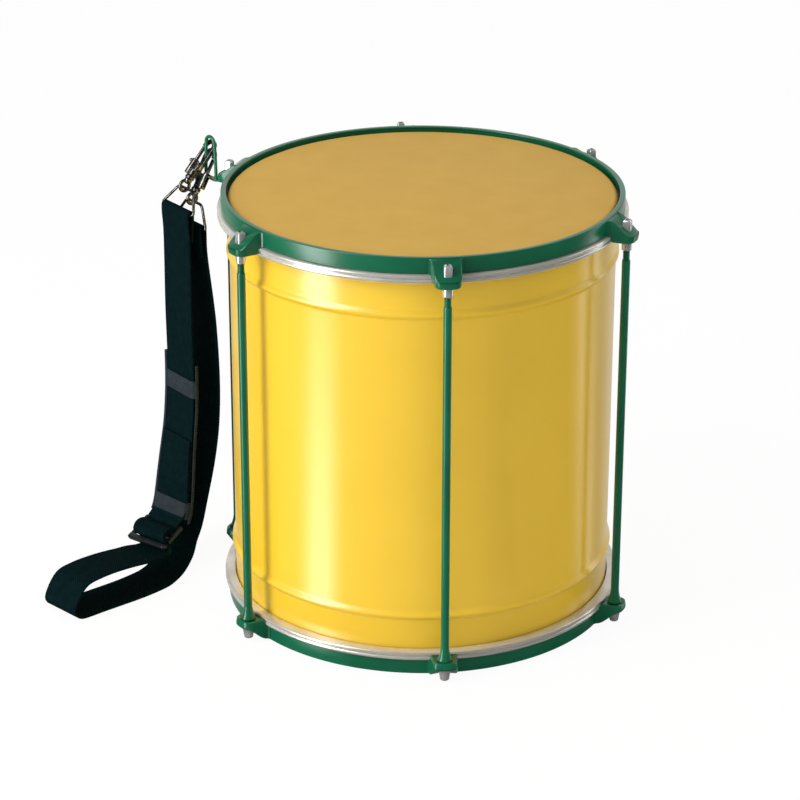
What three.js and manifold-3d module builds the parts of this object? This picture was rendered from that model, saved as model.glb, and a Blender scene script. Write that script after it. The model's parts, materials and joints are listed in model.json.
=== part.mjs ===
// Repinique drum with its carrying sling, in millimetres, +Z up.
// The origin is on the drum's axis, at the plane that the lower hoop rests on.
import * as THREE from 'three';
import { mergeVertices } from 'three/addons/utils/BufferGeometryUtils.js';
import Module from 'manifold-3d';

const wasm = await Module();
wasm.setup();

// Common clearances and counts
const GAP = 0.3;
const OVERRUN = 1;
const JOIN = 0.6;
const WELD = 0.0001;
const RING_SEGMENTS = 36;
const ROD_SEGMENTS = 10;
const TUBE_SIDES = 8;
const FOLD_SIDES = 12;
const SEARCH_ROUNDS = 40;

// Drum
const DRUM_HEIGHT = 344.4;
const SHELL_RADIUS = 152;
const SHELL_WALL = 1.2;
const CURL_RADIUS = 3;
const CURL_LIP = 2;
const CURL_STEPS = 2;
const BEAD_WIDTH = 9;
const BEAD_RISE = 1.8;
const BEAD_FROM_RIM = 47.4;
const BEAD_STEPS = 4;

// Heads and flesh hoops
const FILM = 0.3;
const HEAD_DROP = 3.2;
const FLESH_WIDTH = 8.1;
const FLESH_HEIGHT = 6.5;
const FLESH_GROOVE_WIDTH = 1.6;
const FLESH_GROOVE_DEPTH = 0.9;
const FILM_TURN_OUT = 1.4;
const FILM_TURN_HEIGHT = 3.1;

// Counter hoops and their drawn ears
const HOOP_HEIGHT = 12.5;
const HOOP_WALL = 2.5;
const HOOP_OVER_COLLAR = 2.9;
const RIM_LIP_WIDTH = 1.8;
const RIM_LIP_HEIGHT = 1.5;
const RIM_ROUND = 1.2;
const RIM_STEPS = 2;
const LUG_COUNT = 6;
const LUG_TURN = THREE.MathUtils.degToRad(6.3);
const LUG_OUTSIDE_HOOP = 11.8;
const EAR_REACH = 20;
const EAR_ROOT_HALF = 12.3;
const EAR_FRONT_HALF = 10.3;
const EAR_WALL = 2.2;
const EAR_FLOOR = 3;
const EAR_FLOOR_DROP = 1.9;
const EAR_LIP_RISE = 1.8;
const EAR_BOWL_ROUND = 3;
const EAR_BEHIND = 0.5;
const EAR_SWEEP_SHARE = 0.42;
const EAR_ROOT_SHARE = 0.3;
const EAR_SEGMENTS = 5;
const BOLT_HOLE = 7;

// Key bolt, washer, ferrule, tension rod and bottom nut
const THREAD_RADIUS = 2.7;
const BOLT_SQUARE = 6.35;
const BOLT_SQUARE_SIDES = 4;
const BOLT_SQUARE_HEIGHT = 10.2;
const BOLT_SQUARE_CHAMFER = 0.9;
const BOLT_FLANGE_RADIUS = 4.7;
const BOLT_FLANGE_HEIGHT = 1.4;
const WASHER_RADIUS = 5.5;
const WASHER_HEIGHT = 1.2;
const FERRULE_RADIUS = 3.95;
const FERRULE_HEIGHT = 8;
const FERRULE_CHAMFER = 0.6;
const ROD_RADIUS = 3.25;
const ROD_NECK_HEIGHT = 8;
const ROD_SHOULDER = 0.8;
const CONE_RADIUS = 5.25;
const CONE_EDGE = 1.2;
const CONE_HEIGHT = 11.3;
const CONE_WAIST_SHARE = 0.24;
const CONE_WAIST_HEIGHT_SHARE = 0.42;
const NUT_RADIUS = 5.2;
const NUT_FLANGE_HEIGHT = 2.6;
const NUT_TIP_RADIUS = 3.5;
const NUT_TIP_FROM_FLOOR = 1.1;
const NUT_TIP_ROUND = 1.1;
const NUT_CAP = 4.5;

// Sling bracket: a plate under one upper ear, with a standing wire loop
const BRACKET_LUG = 4;
const PLATE_THICKNESS = 1.6;
const PLATE_LUG_RADIUS = 7;
const PLATE_NECK_RADIUS = 4;
const PLATE_NECK_FROM_LOOP = 4;
const PLATE_HOLE_RADIUS = 3.5;
const LOOP_FROM_LUG = 17;
const LOOP_ABOVE_RIM = 17.6;
const LOOP_WIRE_RADIUS = 1.3;
const LOOP_HALF = 6;
const LOOP_FOOT_HALF = 7.2;
const LOOP_FOOT_MARGIN = 1;
const LOOP_STEPS = 8;

// Direction of the sling in plan, from +X towards +Y
const SLING_TURN = THREE.MathUtils.degToRad(218);

// Snap hook, measured along its own axis from the wire that it goes round
const SNAP_BAR = 3.2;
const SNAP_THICKNESS = 3.4;
const SNAP_THROAT_HALF = 4;
const SNAP_BOW_CENTRE = 2;
const SNAP_FLOOR = 14;
const SNAP_FLOOR_ROUND = 2;
const SNAP_SHOULDER = 13;
const SNAP_BASE_END = 20;
const SNAP_NOSE_END = 1.5;
const SNAP_BASE_THICKNESS = 5;
const SNAP_NECK_RADIUS = 3.2;
const SNAP_NECK_END = 28;
const SNAP_COLLAR_RADIUS = 3.9;
const SNAP_COLLAR_HEIGHT = 2.4;
const BARREL_RADIUS = 3.1;
const BARREL_TOP = 11;
const BARREL_END = 24.4;
const BARREL_CAP = 1.2;
const PLUNGER_RADIUS = 1.5;
const PLUNGER_END = 14.6;
const PLUNGER_TRAVEL = 8;
const STUD_AT = 13;
const STUD_RADIUS = 0.9;
const STUD_REACH = 3;
const SNAP_SEGMENTS = 10;
const BOW_STEPS = 8;

// Swivel of a snap hook
const SWIVEL_PIN_RADIUS = 1.3;
const SWIVEL_HEAD_RADIUS = 2;
const SWIVEL_HEAD_HEIGHT = 1.2;
const SWIVEL_COLLAR_RADIUS = 3.3;
const SWIVEL_COLLAR_HEIGHT = 2;
const EYE_AT = 34.5;
const EYE_RADIUS = 4.4;
const EYE_WIRE_RADIUS = 1.4;
const EYE_SEGMENTS = 12;

// How far under the loop's top each snap hook crosses its leg, and its lean from the vertical
const SNAP_A_DROP = 13.5;
const SNAP_A_LEAN = THREE.MathUtils.degToRad(42);
const SNAP_A_SHIFT = 0;
const SNAP_B_DROP = 24;
const SNAP_B_LEAN = THREE.MathUtils.degToRad(30);
const SNAP_B_SHIFT = 2.5;
const SNAP_LEG_PLAY = 5;

// Trapezoid wire rings
const RING_WIRE_RADIUS = 1.2;
const RING_LENGTH = 18;
const RING_A_LEAN = THREE.MathUtils.degToRad(29.82);
const RING_B_LEAN = THREE.MathUtils.degToRad(15.28);
const RING_TOP_HALF = 10.5;
const RING_FOOT_MARGIN = 1.2;
const RING_CORNER = 2.4;
const RING_SIDES = 6;
const RING_CORNER_STEPS = 2;
const RING_STEPS = 13;

// Webbing, pad and elastic bands
const WEB_WIDTH = 38;
const WEB_THICKNESS = 1.8;
const WEB_FRONT_STEPS = 22;
const WEB_MAIN_STEPS = 52;
const PAD_OVERHANG = 3.5;
const PAD_THICKNESS = 8;
const PAD_EDGE_SHARE = 0.45;
const PAD_LENGTH = 138;
const PAD_ABOVE_SLIDER = 8.5;
const PAD_STEPS = 16;
const PAD_SECTION_STEPS = 4;
const PAD_SEAM_SHARE = 0.522;
const PAD_SEAM_WIDTH = 9;
const PAD_SEAM_DEPTH = 1.6;
const PAD_END_ROUND = 9;
const BAND_WALL = 0.9;
const BAND_HEIGHT = 15;
const BAND_FROM_PAD_TOP = 21.5;
const BAND_FROM_PAD_BOTTOM = 9.2;

// Slider buckle
const SLIDER_TILT = THREE.MathUtils.degToRad(33);
const SLIDER_SPACING = 10.6;
const SLIDER_BAR_RADIUS = 1.6;
const SLIDER_RAIL = 2.6;

// Loop of webbing that lies on the floor, and how far its far end drifts sideways
const FLOOR_LOOP_REACH = 184;
const FLOOR_LOOP_HEIGHT = 31;
const FLOOR_LOOP_DRIFT = 18.5;
const DRIFT_FROM_SHARE = 0.38;
const DRIFT_TO_SHARE = 0.65;
const SLIDER_OUT_SHARE = 0.3533;
const SLIDER_UP_SHARE = 0.9516;
const FLAT_FROM_SHARE = 0.9022;
const FLAT_TO_SHARE = 0.3587;
const FLAT_POINTS = 4;

// Turn of the sling's lower part about an upright line, full below one height and none above another
const TWIST = THREE.MathUtils.degToRad(8);
const TWIST_OUT_SHARE = 0.299;
const TWIST_FULL_BELOW = 45;
const TWIST_NONE_ABOVE = 120;

// Front run, as shares of the way out and of the way up from the slider's middle to the ring's wide side
const FRONT_RUN_SHARES = [
  [0.95, 0.9234], [0.9375, 0.6885], [0.9375, 0.421], [0.7812, 0.2259], [0.6656, 0.0922],
];
// Its turn into the slider, out and up from the slider's middle, as shares of the bars' spacing
const FRONT_TURN_SHARES = [[-1.896, 1.179], [-1.849, 0.66], [-1.698, 0.292], [-1.415, 0.16]];
// Loop on the floor, as shares of its reach and of its height
const FLOOR_RUN_SHARES = [
  [0.4402, 0.685], [0.5272, 0.806], [0.6413, 0.919], [0.7446, 0.984],
  [0.8424, 1], [0.9239, 0.935], [0.9728, 0.665], [1, 0.3], [0.9717, 0.0935],
];
// Back run, as shares of the way in from the flat stretch to the second ring and of the way up to it
const BACK_RUN_SHARES = [
  [0.2, 0.008], [0.4938, 0.0292], [0.7407, 0.0823], [0.9259, 0.1646], [1.1235, 0.2881],
  [1.2593, 0.4698], [1.2247, 0.703], [1.0617, 0.9328],
];

// Worked out from the sizes above
const hoopInner = SHELL_RADIUS + GAP + FILM + HOOP_OVER_COLLAR;
const hoopRadius = hoopInner + HOOP_WALL;
const lugRadius = hoopRadius + LUG_OUTSIDE_HOOP;
const earLip = hoopRadius + EAR_REACH;
const headTop = DRUM_HEIGHT - HEAD_DROP;
const shellTop = headTop - FILM - GAP;
const hoopBottom = DRUM_HEIGHT - HOOP_HEIGHT;
const fleshTop = hoopBottom - GAP;
const fleshBottom = fleshTop - FLESH_HEIGHT;
const fleshInner = SHELL_RADIUS + GAP + FILM + GAP;
const fleshOuter = fleshInner + FLESH_WIDTH;
const earFloorTop = hoopBottom - EAR_FLOOR_DROP;
const earFloorBottom = earFloorTop - EAR_FLOOR;
const earTop = DRUM_HEIGHT - RIM_ROUND;
const lowerPlateTop = DRUM_HEIGHT - earFloorBottom;
const lowerPlateBottom = DRUM_HEIGHT - earFloorTop;
const ferruleTop = earFloorBottom - GAP;
const neckBottom = ferruleTop - FERRULE_HEIGHT - ROD_NECK_HEIGHT;
const threadMeet = ferruleTop - FERRULE_HEIGHT / 2;
const plateTop = earFloorBottom - GAP;
const plateBottom = plateTop - PLATE_THICKNESS;
const loopRadius = lugRadius + LOOP_FROM_LUG;
const loopTop = DRUM_HEIGHT + LOOP_ABOVE_RIM;
const archCentre = loopTop - LOOP_WIRE_RADIUS - LOOP_HALF;
const bracketAngle = LUG_TURN + BRACKET_LUG * 2 * Math.PI / LUG_COUNT - Math.PI / 2;
const barrelX = SNAP_THROAT_HALF + SNAP_BAR / 2;
const foldDepth = RING_WIRE_RADIUS + GAP + WEB_THICKNESS / 2;
const sliderFold = SLIDER_BAR_RADIUS + GAP + WEB_THICKNESS / 2;
const passDepth = sliderFold + GAP;
const sliderOut = FLOOR_LOOP_REACH * SLIDER_OUT_SHARE;
const sliderUp = FLOOR_LOOP_HEIGHT * SLIDER_UP_SHARE;
const flatTo = FLOOR_LOOP_REACH * FLAT_TO_SHARE;
const twistOut = FLOOR_LOOP_REACH * TWIST_OUT_SHARE;
const padWidth = WEB_WIDTH + 2 * PAD_OVERHANG;
const padBottom = sliderUp + PAD_ABOVE_SLIDER;
const padTop = padBottom + PAD_LENGTH;

// Finishes
const green = new THREE.MeshStandardMaterial({ color: 0x0b5a3a, roughness: 0.35, metalness: 0.1 });
const yellow = new THREE.MeshStandardMaterial({ color: 0xdcb131, roughness: 0.3, metalness: 0.1 });
const film = new THREE.MeshStandardMaterial({ color: 0xcda455, roughness: 0.5, metalness: 0 });
const aluminium = new THREE.MeshStandardMaterial({ color: 0xb9bcb4, roughness: 0.4, metalness: 0.9 });
const plated = new THREE.MeshStandardMaterial({ color: 0xd9dbd6, roughness: 0.2, metalness: 1 });
const nickel = new THREE.MeshStandardMaterial({ color: 0xb4b4ae, roughness: 0.25, metalness: 1 });
const webbing = new THREE.MeshStandardMaterial({ color: 0x10191b, roughness: 0.9, metalness: 0 });
const padding = new THREE.MeshStandardMaterial({ color: 0x161c1f, roughness: 0.95, metalness: 0 });
const elastic = new THREE.MeshStandardMaterial({ color: 0x5c6267, roughness: 0.85, metalness: 0 });
const moulded = new THREE.MeshStandardMaterial({ color: 0x1d2426, roughness: 0.5, metalness: 0 });

// Closed geometry as a solid that can be joined and cut
function solidOf(geometry) {
  const plain = geometry.clone();
  plain.deleteAttribute('normal');
  plain.deleteAttribute('uv');
  const merged = mergeVertices(plain, WELD);
  const triangles = [];
  for (let at = 0; at < merged.index.count; at += 3) {
    const corners = [merged.index.getX(at), merged.index.getX(at + 1), merged.index.getX(at + 2)];
    if (new Set(corners).size === 3) triangles.push(...corners);
  }
  return new wasm.Manifold(new wasm.Mesh({
    numProp: 3,
    vertProperties: merged.attributes.position.array,
    triVerts: Uint32Array.from(triangles),
  }));
}

function geometryOf(solid) {
  const mesh = solid.getMesh();
  const geometry = new THREE.BufferGeometry();
  geometry.setAttribute('position', new THREE.BufferAttribute(mesh.vertProperties, 3));
  geometry.setIndex(new THREE.BufferAttribute(mesh.triVerts, 1));
  geometry.computeVertexNormals();
  return geometry;
}

function meshOf(name, shape, material) {
  const geometry = shape.isBufferGeometry ? shape : geometryOf(shape);
  const mesh = new THREE.Mesh(geometry, material);
  mesh.name = name;
  return mesh;
}

// Outline of [radius, height] points turned round the Z axis, anticlockwise with height up
function revolve(outline, segments) {
  const points = outline.map(([radius, height]) => new THREE.Vector2(radius, height));
  if (outline[0][0] !== 0) points.push(points[0].clone());
  return new THREE.LatheGeometry(points, segments).rotateX(Math.PI / 2);
}

// Points of a circular arc in an outline
function arc(x, y, radius, from, to, steps) {
  return Array.from({ length: steps + 1 }, (_, step) => {
    const angle = from + (to - from) * step / steps;
    return [x + radius * Math.cos(angle), y + radius * Math.sin(angle)];
  });
}

function outlineShape(points) {
  return new THREE.Shape(points.map(([x, y]) => new THREE.Vector2(x, y)));
}

// Shape in X and Y, raised along Z from one height to another
function prism(shape, from, to) {
  const options = { depth: to - from, bevelEnabled: false, curveSegments: EAR_SEGMENTS };
  return new THREE.ExtrudeGeometry(shape, options).translate(0, 0, from);
}

// Upright cylinder between two heights
function post(radius, from, to, segments) {
  const geometry = new THREE.CylinderGeometry(radius, radius, to - from, segments);
  return geometry.rotateX(Math.PI / 2).translate(0, 0, (from + to) / 2);
}

// Tube along a curve
function tube(curve, radius, sides, steps) {
  const section = outlineShape(arc(0, 0, radius, 0, 2 * Math.PI, sides).slice(1));
  return new THREE.ExtrudeGeometry(section, { extrudePath: curve, steps, bevelEnabled: false });
}

// Frame whose X and Y axes are given, at a place
function place(object, position, xAxis, yAxis) {
  const zAxis = new THREE.Vector3().crossVectors(xAxis, yAxis);
  object.applyMatrix4(new THREE.Matrix4().makeBasis(xAxis, yAxis, zAxis).setPosition(position));
  return object;
}

// The drum's lower half is the upper half turned over
function turnedOver(mesh) {
  mesh.rotation.x = Math.PI;
  mesh.position.z = DRUM_HEIGHT;
  return mesh;
}

// Shell: straight wall with a swaged bead near each end and both edges curled inward
function shellLine(inset) {
  const line = [];
  for (let step = 0; step <= BEAD_STEPS; step += 1) {
    const share = step / BEAD_STEPS;
    const rise = BEAD_RISE * Math.sin(Math.PI * share) ** 2;
    line.push([SHELL_RADIUS - inset + rise, DRUM_HEIGHT - BEAD_FROM_RIM + BEAD_WIDTH * (share - 1 / 2)]);
  }
  const curlX = SHELL_RADIUS - CURL_RADIUS;
  line.push(...arc(curlX, shellTop - CURL_RADIUS, CURL_RADIUS - inset, 0, Math.PI / 2, CURL_STEPS));
  line.push([curlX - CURL_LIP, shellTop - inset]);
  return line;
}

function lowered(line) {
  return line.map(([radius, height]) => [radius, DRUM_HEIGHT - height]);
}

function makeShell() {
  const outer = shellLine(0);
  const inner = shellLine(SHELL_WALL);
  const lowerInner = lowered(inner);
  const outline = [...lowered(outer).reverse(), ...outer, ...inner.reverse(), ...lowerInner];
  return meshOf('shell', revolve(outline, RING_SEGMENTS), yellow);
}

// Head: film stretched over the curled edge, its collar turned out into the flesh hoop's slot
function makeHead(name) {
  const turnBottom = fleshBottom + FILM_TURN_HEIGHT;
  const turnEdge = fleshInner + FILM_TURN_OUT - GAP;
  const edgeX = SHELL_RADIUS - CURL_RADIUS;
  const edgeZ = shellTop - CURL_RADIUS;
  const under = CURL_RADIUS + GAP;
  const outline = [
    [0, headTop - FILM],
    ...arc(edgeX, edgeZ, under, Math.PI / 2, 0, CURL_STEPS),
    [SHELL_RADIUS + GAP, turnBottom],
    [turnEdge, turnBottom],
    [turnEdge, turnBottom + FILM],
    [SHELL_RADIUS + GAP + FILM, turnBottom + FILM],
    ...arc(edgeX, edgeZ, under + FILM, 0, Math.PI / 2, CURL_STEPS),
    [0, headTop],
  ];
  return meshOf(name, revolve(outline, RING_SEGMENTS), film);
}

// Flesh hoop: grooved outside, slotted inside for the film
function makeFleshHoop(name) {
  const middle = (fleshTop + fleshBottom) / 2;
  const slotBottom = fleshBottom + FILM_TURN_HEIGHT - GAP;
  const slotTop = slotBottom + GAP + FILM + GAP;
  const outline = [
    [fleshInner, fleshBottom],
    [fleshOuter, fleshBottom],
    [fleshOuter, middle - FLESH_GROOVE_WIDTH / 2],
    [fleshOuter - FLESH_GROOVE_DEPTH, middle],
    [fleshOuter, middle + FLESH_GROOVE_WIDTH / 2],
    [fleshOuter, fleshTop],
    [fleshInner, fleshTop],
    [fleshInner, slotTop],
    [fleshInner + FILM_TURN_OUT, slotTop],
    [fleshInner + FILM_TURN_OUT, slotBottom],
    [fleshInner, slotBottom],
  ];
  return meshOf(name, revolve(outline, RING_SEGMENTS), aluminium);
}

// Plan of an ear in the lug's frame, X outward from the drum's axis
function earPlan(inset) {
  const front = earLip - EAR_FRONT_HALF;
  const root = hoopRadius - HOOP_WALL / 2;
  const shape = new THREE.Shape();
  shape.moveTo(root, inset - EAR_ROOT_HALF);
  shape.lineTo(front, inset - EAR_FRONT_HALF);
  shape.absarc(front, 0, EAR_FRONT_HALF - inset, -Math.PI / 2, Math.PI / 2, false);
  shape.lineTo(root, EAR_ROOT_HALF - inset);
  return shape;
}

// Shape in X and Z of the lug's frame, run across the ear's width
function acrossEar(shape) {
  const width = 2 * (EAR_ROOT_HALF + OVERRUN);
  const options = { depth: width, bevelEnabled: false, curveSegments: EAR_SEGMENTS };
  return new THREE.ExtrudeGeometry(shape, options).translate(0, 0, -width / 2).rotateX(Math.PI / 2);
}

// Drawn ear: a rounded tray whose side walls sweep up from a low lip to the hoop's rim
function makeEar() {
  const root = hoopRadius - HOOP_WALL / 2;
  const back = fleshOuter + EAR_BEHIND;
  const side = new THREE.Shape();
  side.moveTo(root, hoopBottom);
  side.lineTo(back, hoopBottom);
  side.lineTo(back, earFloorBottom);
  side.lineTo(earLip - EAR_BOWL_ROUND, earFloorBottom);
  side.quadraticCurveTo(earLip, earFloorBottom, earLip, earFloorBottom + EAR_BOWL_ROUND);
  side.lineTo(earLip, earFloorTop + EAR_LIP_RISE);
  const sweep = hoopRadius + EAR_REACH * EAR_SWEEP_SHARE;
  side.quadraticCurveTo(sweep, earFloorTop + EAR_LIP_RISE, hoopRadius, earTop);
  side.lineTo(root, earTop);

  const hollow = new THREE.Shape();
  const hollowBack = back + EAR_WALL;
  const crest = earTop + OVERRUN;
  hollow.moveTo(hollowBack, earFloorTop);
  hollow.lineTo(earLip + OVERRUN, earFloorTop);
  hollow.lineTo(earLip + OVERRUN, crest);
  hollow.lineTo(hoopRadius + EAR_WALL * EAR_ROOT_SHARE, crest);
  hollow.quadraticCurveTo(hoopRadius + EAR_WALL, earFloorTop + EAR_LIP_RISE, hollowBack, earFloorTop);

  const outerPlan = solidOf(prism(earPlan(0), earFloorBottom - OVERRUN, crest));
  const innerPlan = solidOf(prism(earPlan(EAR_WALL), earFloorTop, crest));
  const outside = outerPlan.intersect(solidOf(acrossEar(side)));
  const inside = innerPlan.intersect(solidOf(acrossEar(hollow)));
  const hole = post(BOLT_HOLE / 2, earFloorBottom - OVERRUN, crest, ROD_SEGMENTS).translate(lugRadius, 0, 0);
  return geometryOf(outside.subtract(inside).subtract(solidOf(hole)));
}

// Counter hoop: an upright band with an inward lip and six drawn ears
function makeHoop(name) {
  const outline = [
    [hoopInner, hoopBottom],
    [hoopRadius, hoopBottom],
    ...arc(hoopRadius - RIM_ROUND, DRUM_HEIGHT - RIM_ROUND, RIM_ROUND, 0, Math.PI / 2, RIM_STEPS),
    [hoopInner - RIM_LIP_WIDTH, DRUM_HEIGHT],
    [hoopInner - RIM_LIP_WIDTH, DRUM_HEIGHT - RIM_LIP_HEIGHT],
    [hoopInner, DRUM_HEIGHT - RIM_LIP_HEIGHT],
  ];
  let hoop = solidOf(revolve(outline, RING_SEGMENTS));
  const ear = makeEar();
  for (let lug = 0; lug < LUG_COUNT; lug += 1) {
    const angle = lug * 2 * Math.PI / LUG_COUNT - Math.PI / 2;
    hoop = hoop.add(solidOf(ear.clone().rotateZ(angle)));
  }
  return meshOf(name, hoop, green);
}

// Key bolt: square drive head with a chamfered top, flange and threaded shank
function makeKeyBolt(name, seat) {
  const washerTop = earFloorTop + GAP + WASHER_HEIGHT;
  const flangeBottom = washerTop + GAP;
  const flangeTop = flangeBottom + BOLT_FLANGE_HEIGHT;
  const squareTop = flangeTop + BOLT_SQUARE_HEIGHT;
  const corner = BOLT_SQUARE / Math.SQRT2;
  const shank = revolve([
    [0, seat],
    [THREAD_RADIUS, seat],
    [THREAD_RADIUS, flangeBottom],
    [BOLT_FLANGE_RADIUS, flangeBottom],
    [BOLT_FLANGE_RADIUS, flangeTop - BOLT_SQUARE_CHAMFER / 2],
    [BOLT_FLANGE_RADIUS - BOLT_SQUARE_CHAMFER / 2, flangeTop],
    [0, flangeTop],
  ], ROD_SEGMENTS);
  const square = revolve([
    [0, flangeTop - JOIN],
    [corner, flangeTop - JOIN],
    [corner, squareTop - BOLT_SQUARE_CHAMFER],
    [corner - BOLT_SQUARE_CHAMFER, squareTop],
    [0, squareTop],
  ], BOLT_SQUARE_SIDES);
  return meshOf(name, solidOf(shank).add(solidOf(square)), plated);
}

function makeWasher(name) {
  const bottom = earFloorTop + GAP;
  const outline = [
    [THREAD_RADIUS + GAP, bottom],
    [WASHER_RADIUS, bottom],
    [WASHER_RADIUS, bottom + WASHER_HEIGHT],
    [THREAD_RADIUS + GAP, bottom + WASHER_HEIGHT],
  ];
  return meshOf(name, revolve(outline, ROD_SEGMENTS), plated);
}

// Ferrule: sleeve under the upper ear that joins the bolt to the rod's neck
function makeFerrule(name, top) {
  const bottom = top - FERRULE_HEIGHT;
  const outline = [
    [THREAD_RADIUS + GAP, bottom],
    [FERRULE_RADIUS - FERRULE_CHAMFER, bottom],
    [FERRULE_RADIUS, bottom + FERRULE_CHAMFER],
    [FERRULE_RADIUS, top],
    [THREAD_RADIUS + GAP, top],
  ];
  return meshOf(name, revolve(outline, ROD_SEGMENTS), plated);
}

// Tension rod: flared foot on the lower ear, threaded end through it and a narrow neck on top
function makeRod(name, drop) {
  const foot = lowerPlateTop + GAP;
  const waist = ROD_RADIUS + (CONE_RADIUS - ROD_RADIUS) * CONE_WAIST_SHARE;
  const outline = [
    [0, NUT_CAP + NUT_TIP_FROM_FLOOR + GAP],
    [THREAD_RADIUS, NUT_CAP + NUT_TIP_FROM_FLOOR + GAP],
    [THREAD_RADIUS, foot],
    [CONE_RADIUS, foot],
    [CONE_RADIUS, foot + CONE_EDGE],
    [waist, foot + CONE_HEIGHT * CONE_WAIST_HEIGHT_SHARE],
    [ROD_RADIUS, foot + CONE_HEIGHT],
    [ROD_RADIUS, neckBottom - ROD_SHOULDER],
    [THREAD_RADIUS, neckBottom],
    [THREAD_RADIUS, threadMeet - drop - GAP],
    [0, threadMeet - drop - GAP],
  ];
  return meshOf(name, revolve(outline, ROD_SEGMENTS), green);
}

// Bottom nut: flange against the lower ear, tapering to a round tip
function makeBottomNut(name) {
  const top = lowerPlateBottom - GAP;
  const outline = [
    [0, NUT_TIP_FROM_FLOOR],
    [NUT_TIP_RADIUS - NUT_TIP_ROUND, NUT_TIP_FROM_FLOOR],
    [NUT_TIP_RADIUS, NUT_TIP_FROM_FLOOR + NUT_TIP_ROUND],
    [NUT_RADIUS, top - NUT_FLANGE_HEIGHT],
    [NUT_RADIUS, top],
    [THREAD_RADIUS + GAP, top],
    [THREAD_RADIUS + GAP, NUT_CAP + NUT_TIP_FROM_FLOOR],
    [0, NUT_CAP + NUT_TIP_FROM_FLOOR],
  ];
  return meshOf(name, revolve(outline, ROD_SEGMENTS), plated);
}

// Bracket in the lug's frame, moved so that X runs outward from the lug's own axis
function makeBracket(slingAngle) {
  const plate = new THREE.Shape();
  plate.absarc(0, 0, PLATE_LUG_RADIUS, Math.PI / 2, 3 * Math.PI / 2, false);
  plate.absarc(LOOP_FROM_LUG - PLATE_NECK_FROM_LOOP, 0, PLATE_NECK_RADIUS, -Math.PI / 2, Math.PI / 2, false);
  const footRadius = LOOP_WIRE_RADIUS + LOOP_FOOT_MARGIN;
  const bar = new THREE.Shape();
  bar.absarc(0, LOOP_FOOT_HALF, footRadius, 0, Math.PI, false);
  bar.absarc(0, -LOOP_FOOT_HALF, footRadius, Math.PI, 2 * Math.PI, false);
  const foot = prism(bar, plateBottom, plateTop);

  const archPoints = arc(0, archCentre, LOOP_HALF, Math.PI, 0, LOOP_STEPS);
  const legs = [[-LOOP_FOOT_HALF, plateTop - JOIN], ...archPoints, [LOOP_FOOT_HALF, plateTop - JOIN]];
  const path = legs.map(([across, up]) => new THREE.Vector3(0, across, up));
  const curve = new THREE.CatmullRomCurve3(path, false, 'centripetal');
  const wire = tube(curve, LOOP_WIRE_RADIUS, TUBE_SIDES, LOOP_STEPS * 2);

  const turned = [foot, wire].map((part) => solidOf(part.rotateZ(slingAngle).translate(LOOP_FROM_LUG, 0, 0)));
  const hole = post(PLATE_HOLE_RADIUS, plateBottom - OVERRUN, plateTop + OVERRUN, ROD_SEGMENTS);
  const base = solidOf(prism(plate, plateBottom, plateTop)).subtract(solidOf(hole));
  const bracket = geometryOf(base.add(turned[0]).add(turned[1]));
  return meshOf('sling_bracket', bracket.translate(lugRadius, 0, 0), green);
}

// Cylinder along a snap hook's axis, given from its lower to its upper end
function alongSnap(radius, from, to, x) {
  return new THREE.CylinderGeometry(radius, radius, to - from, SNAP_SEGMENTS).translate(x, (from + to) / 2, 0);
}

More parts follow.
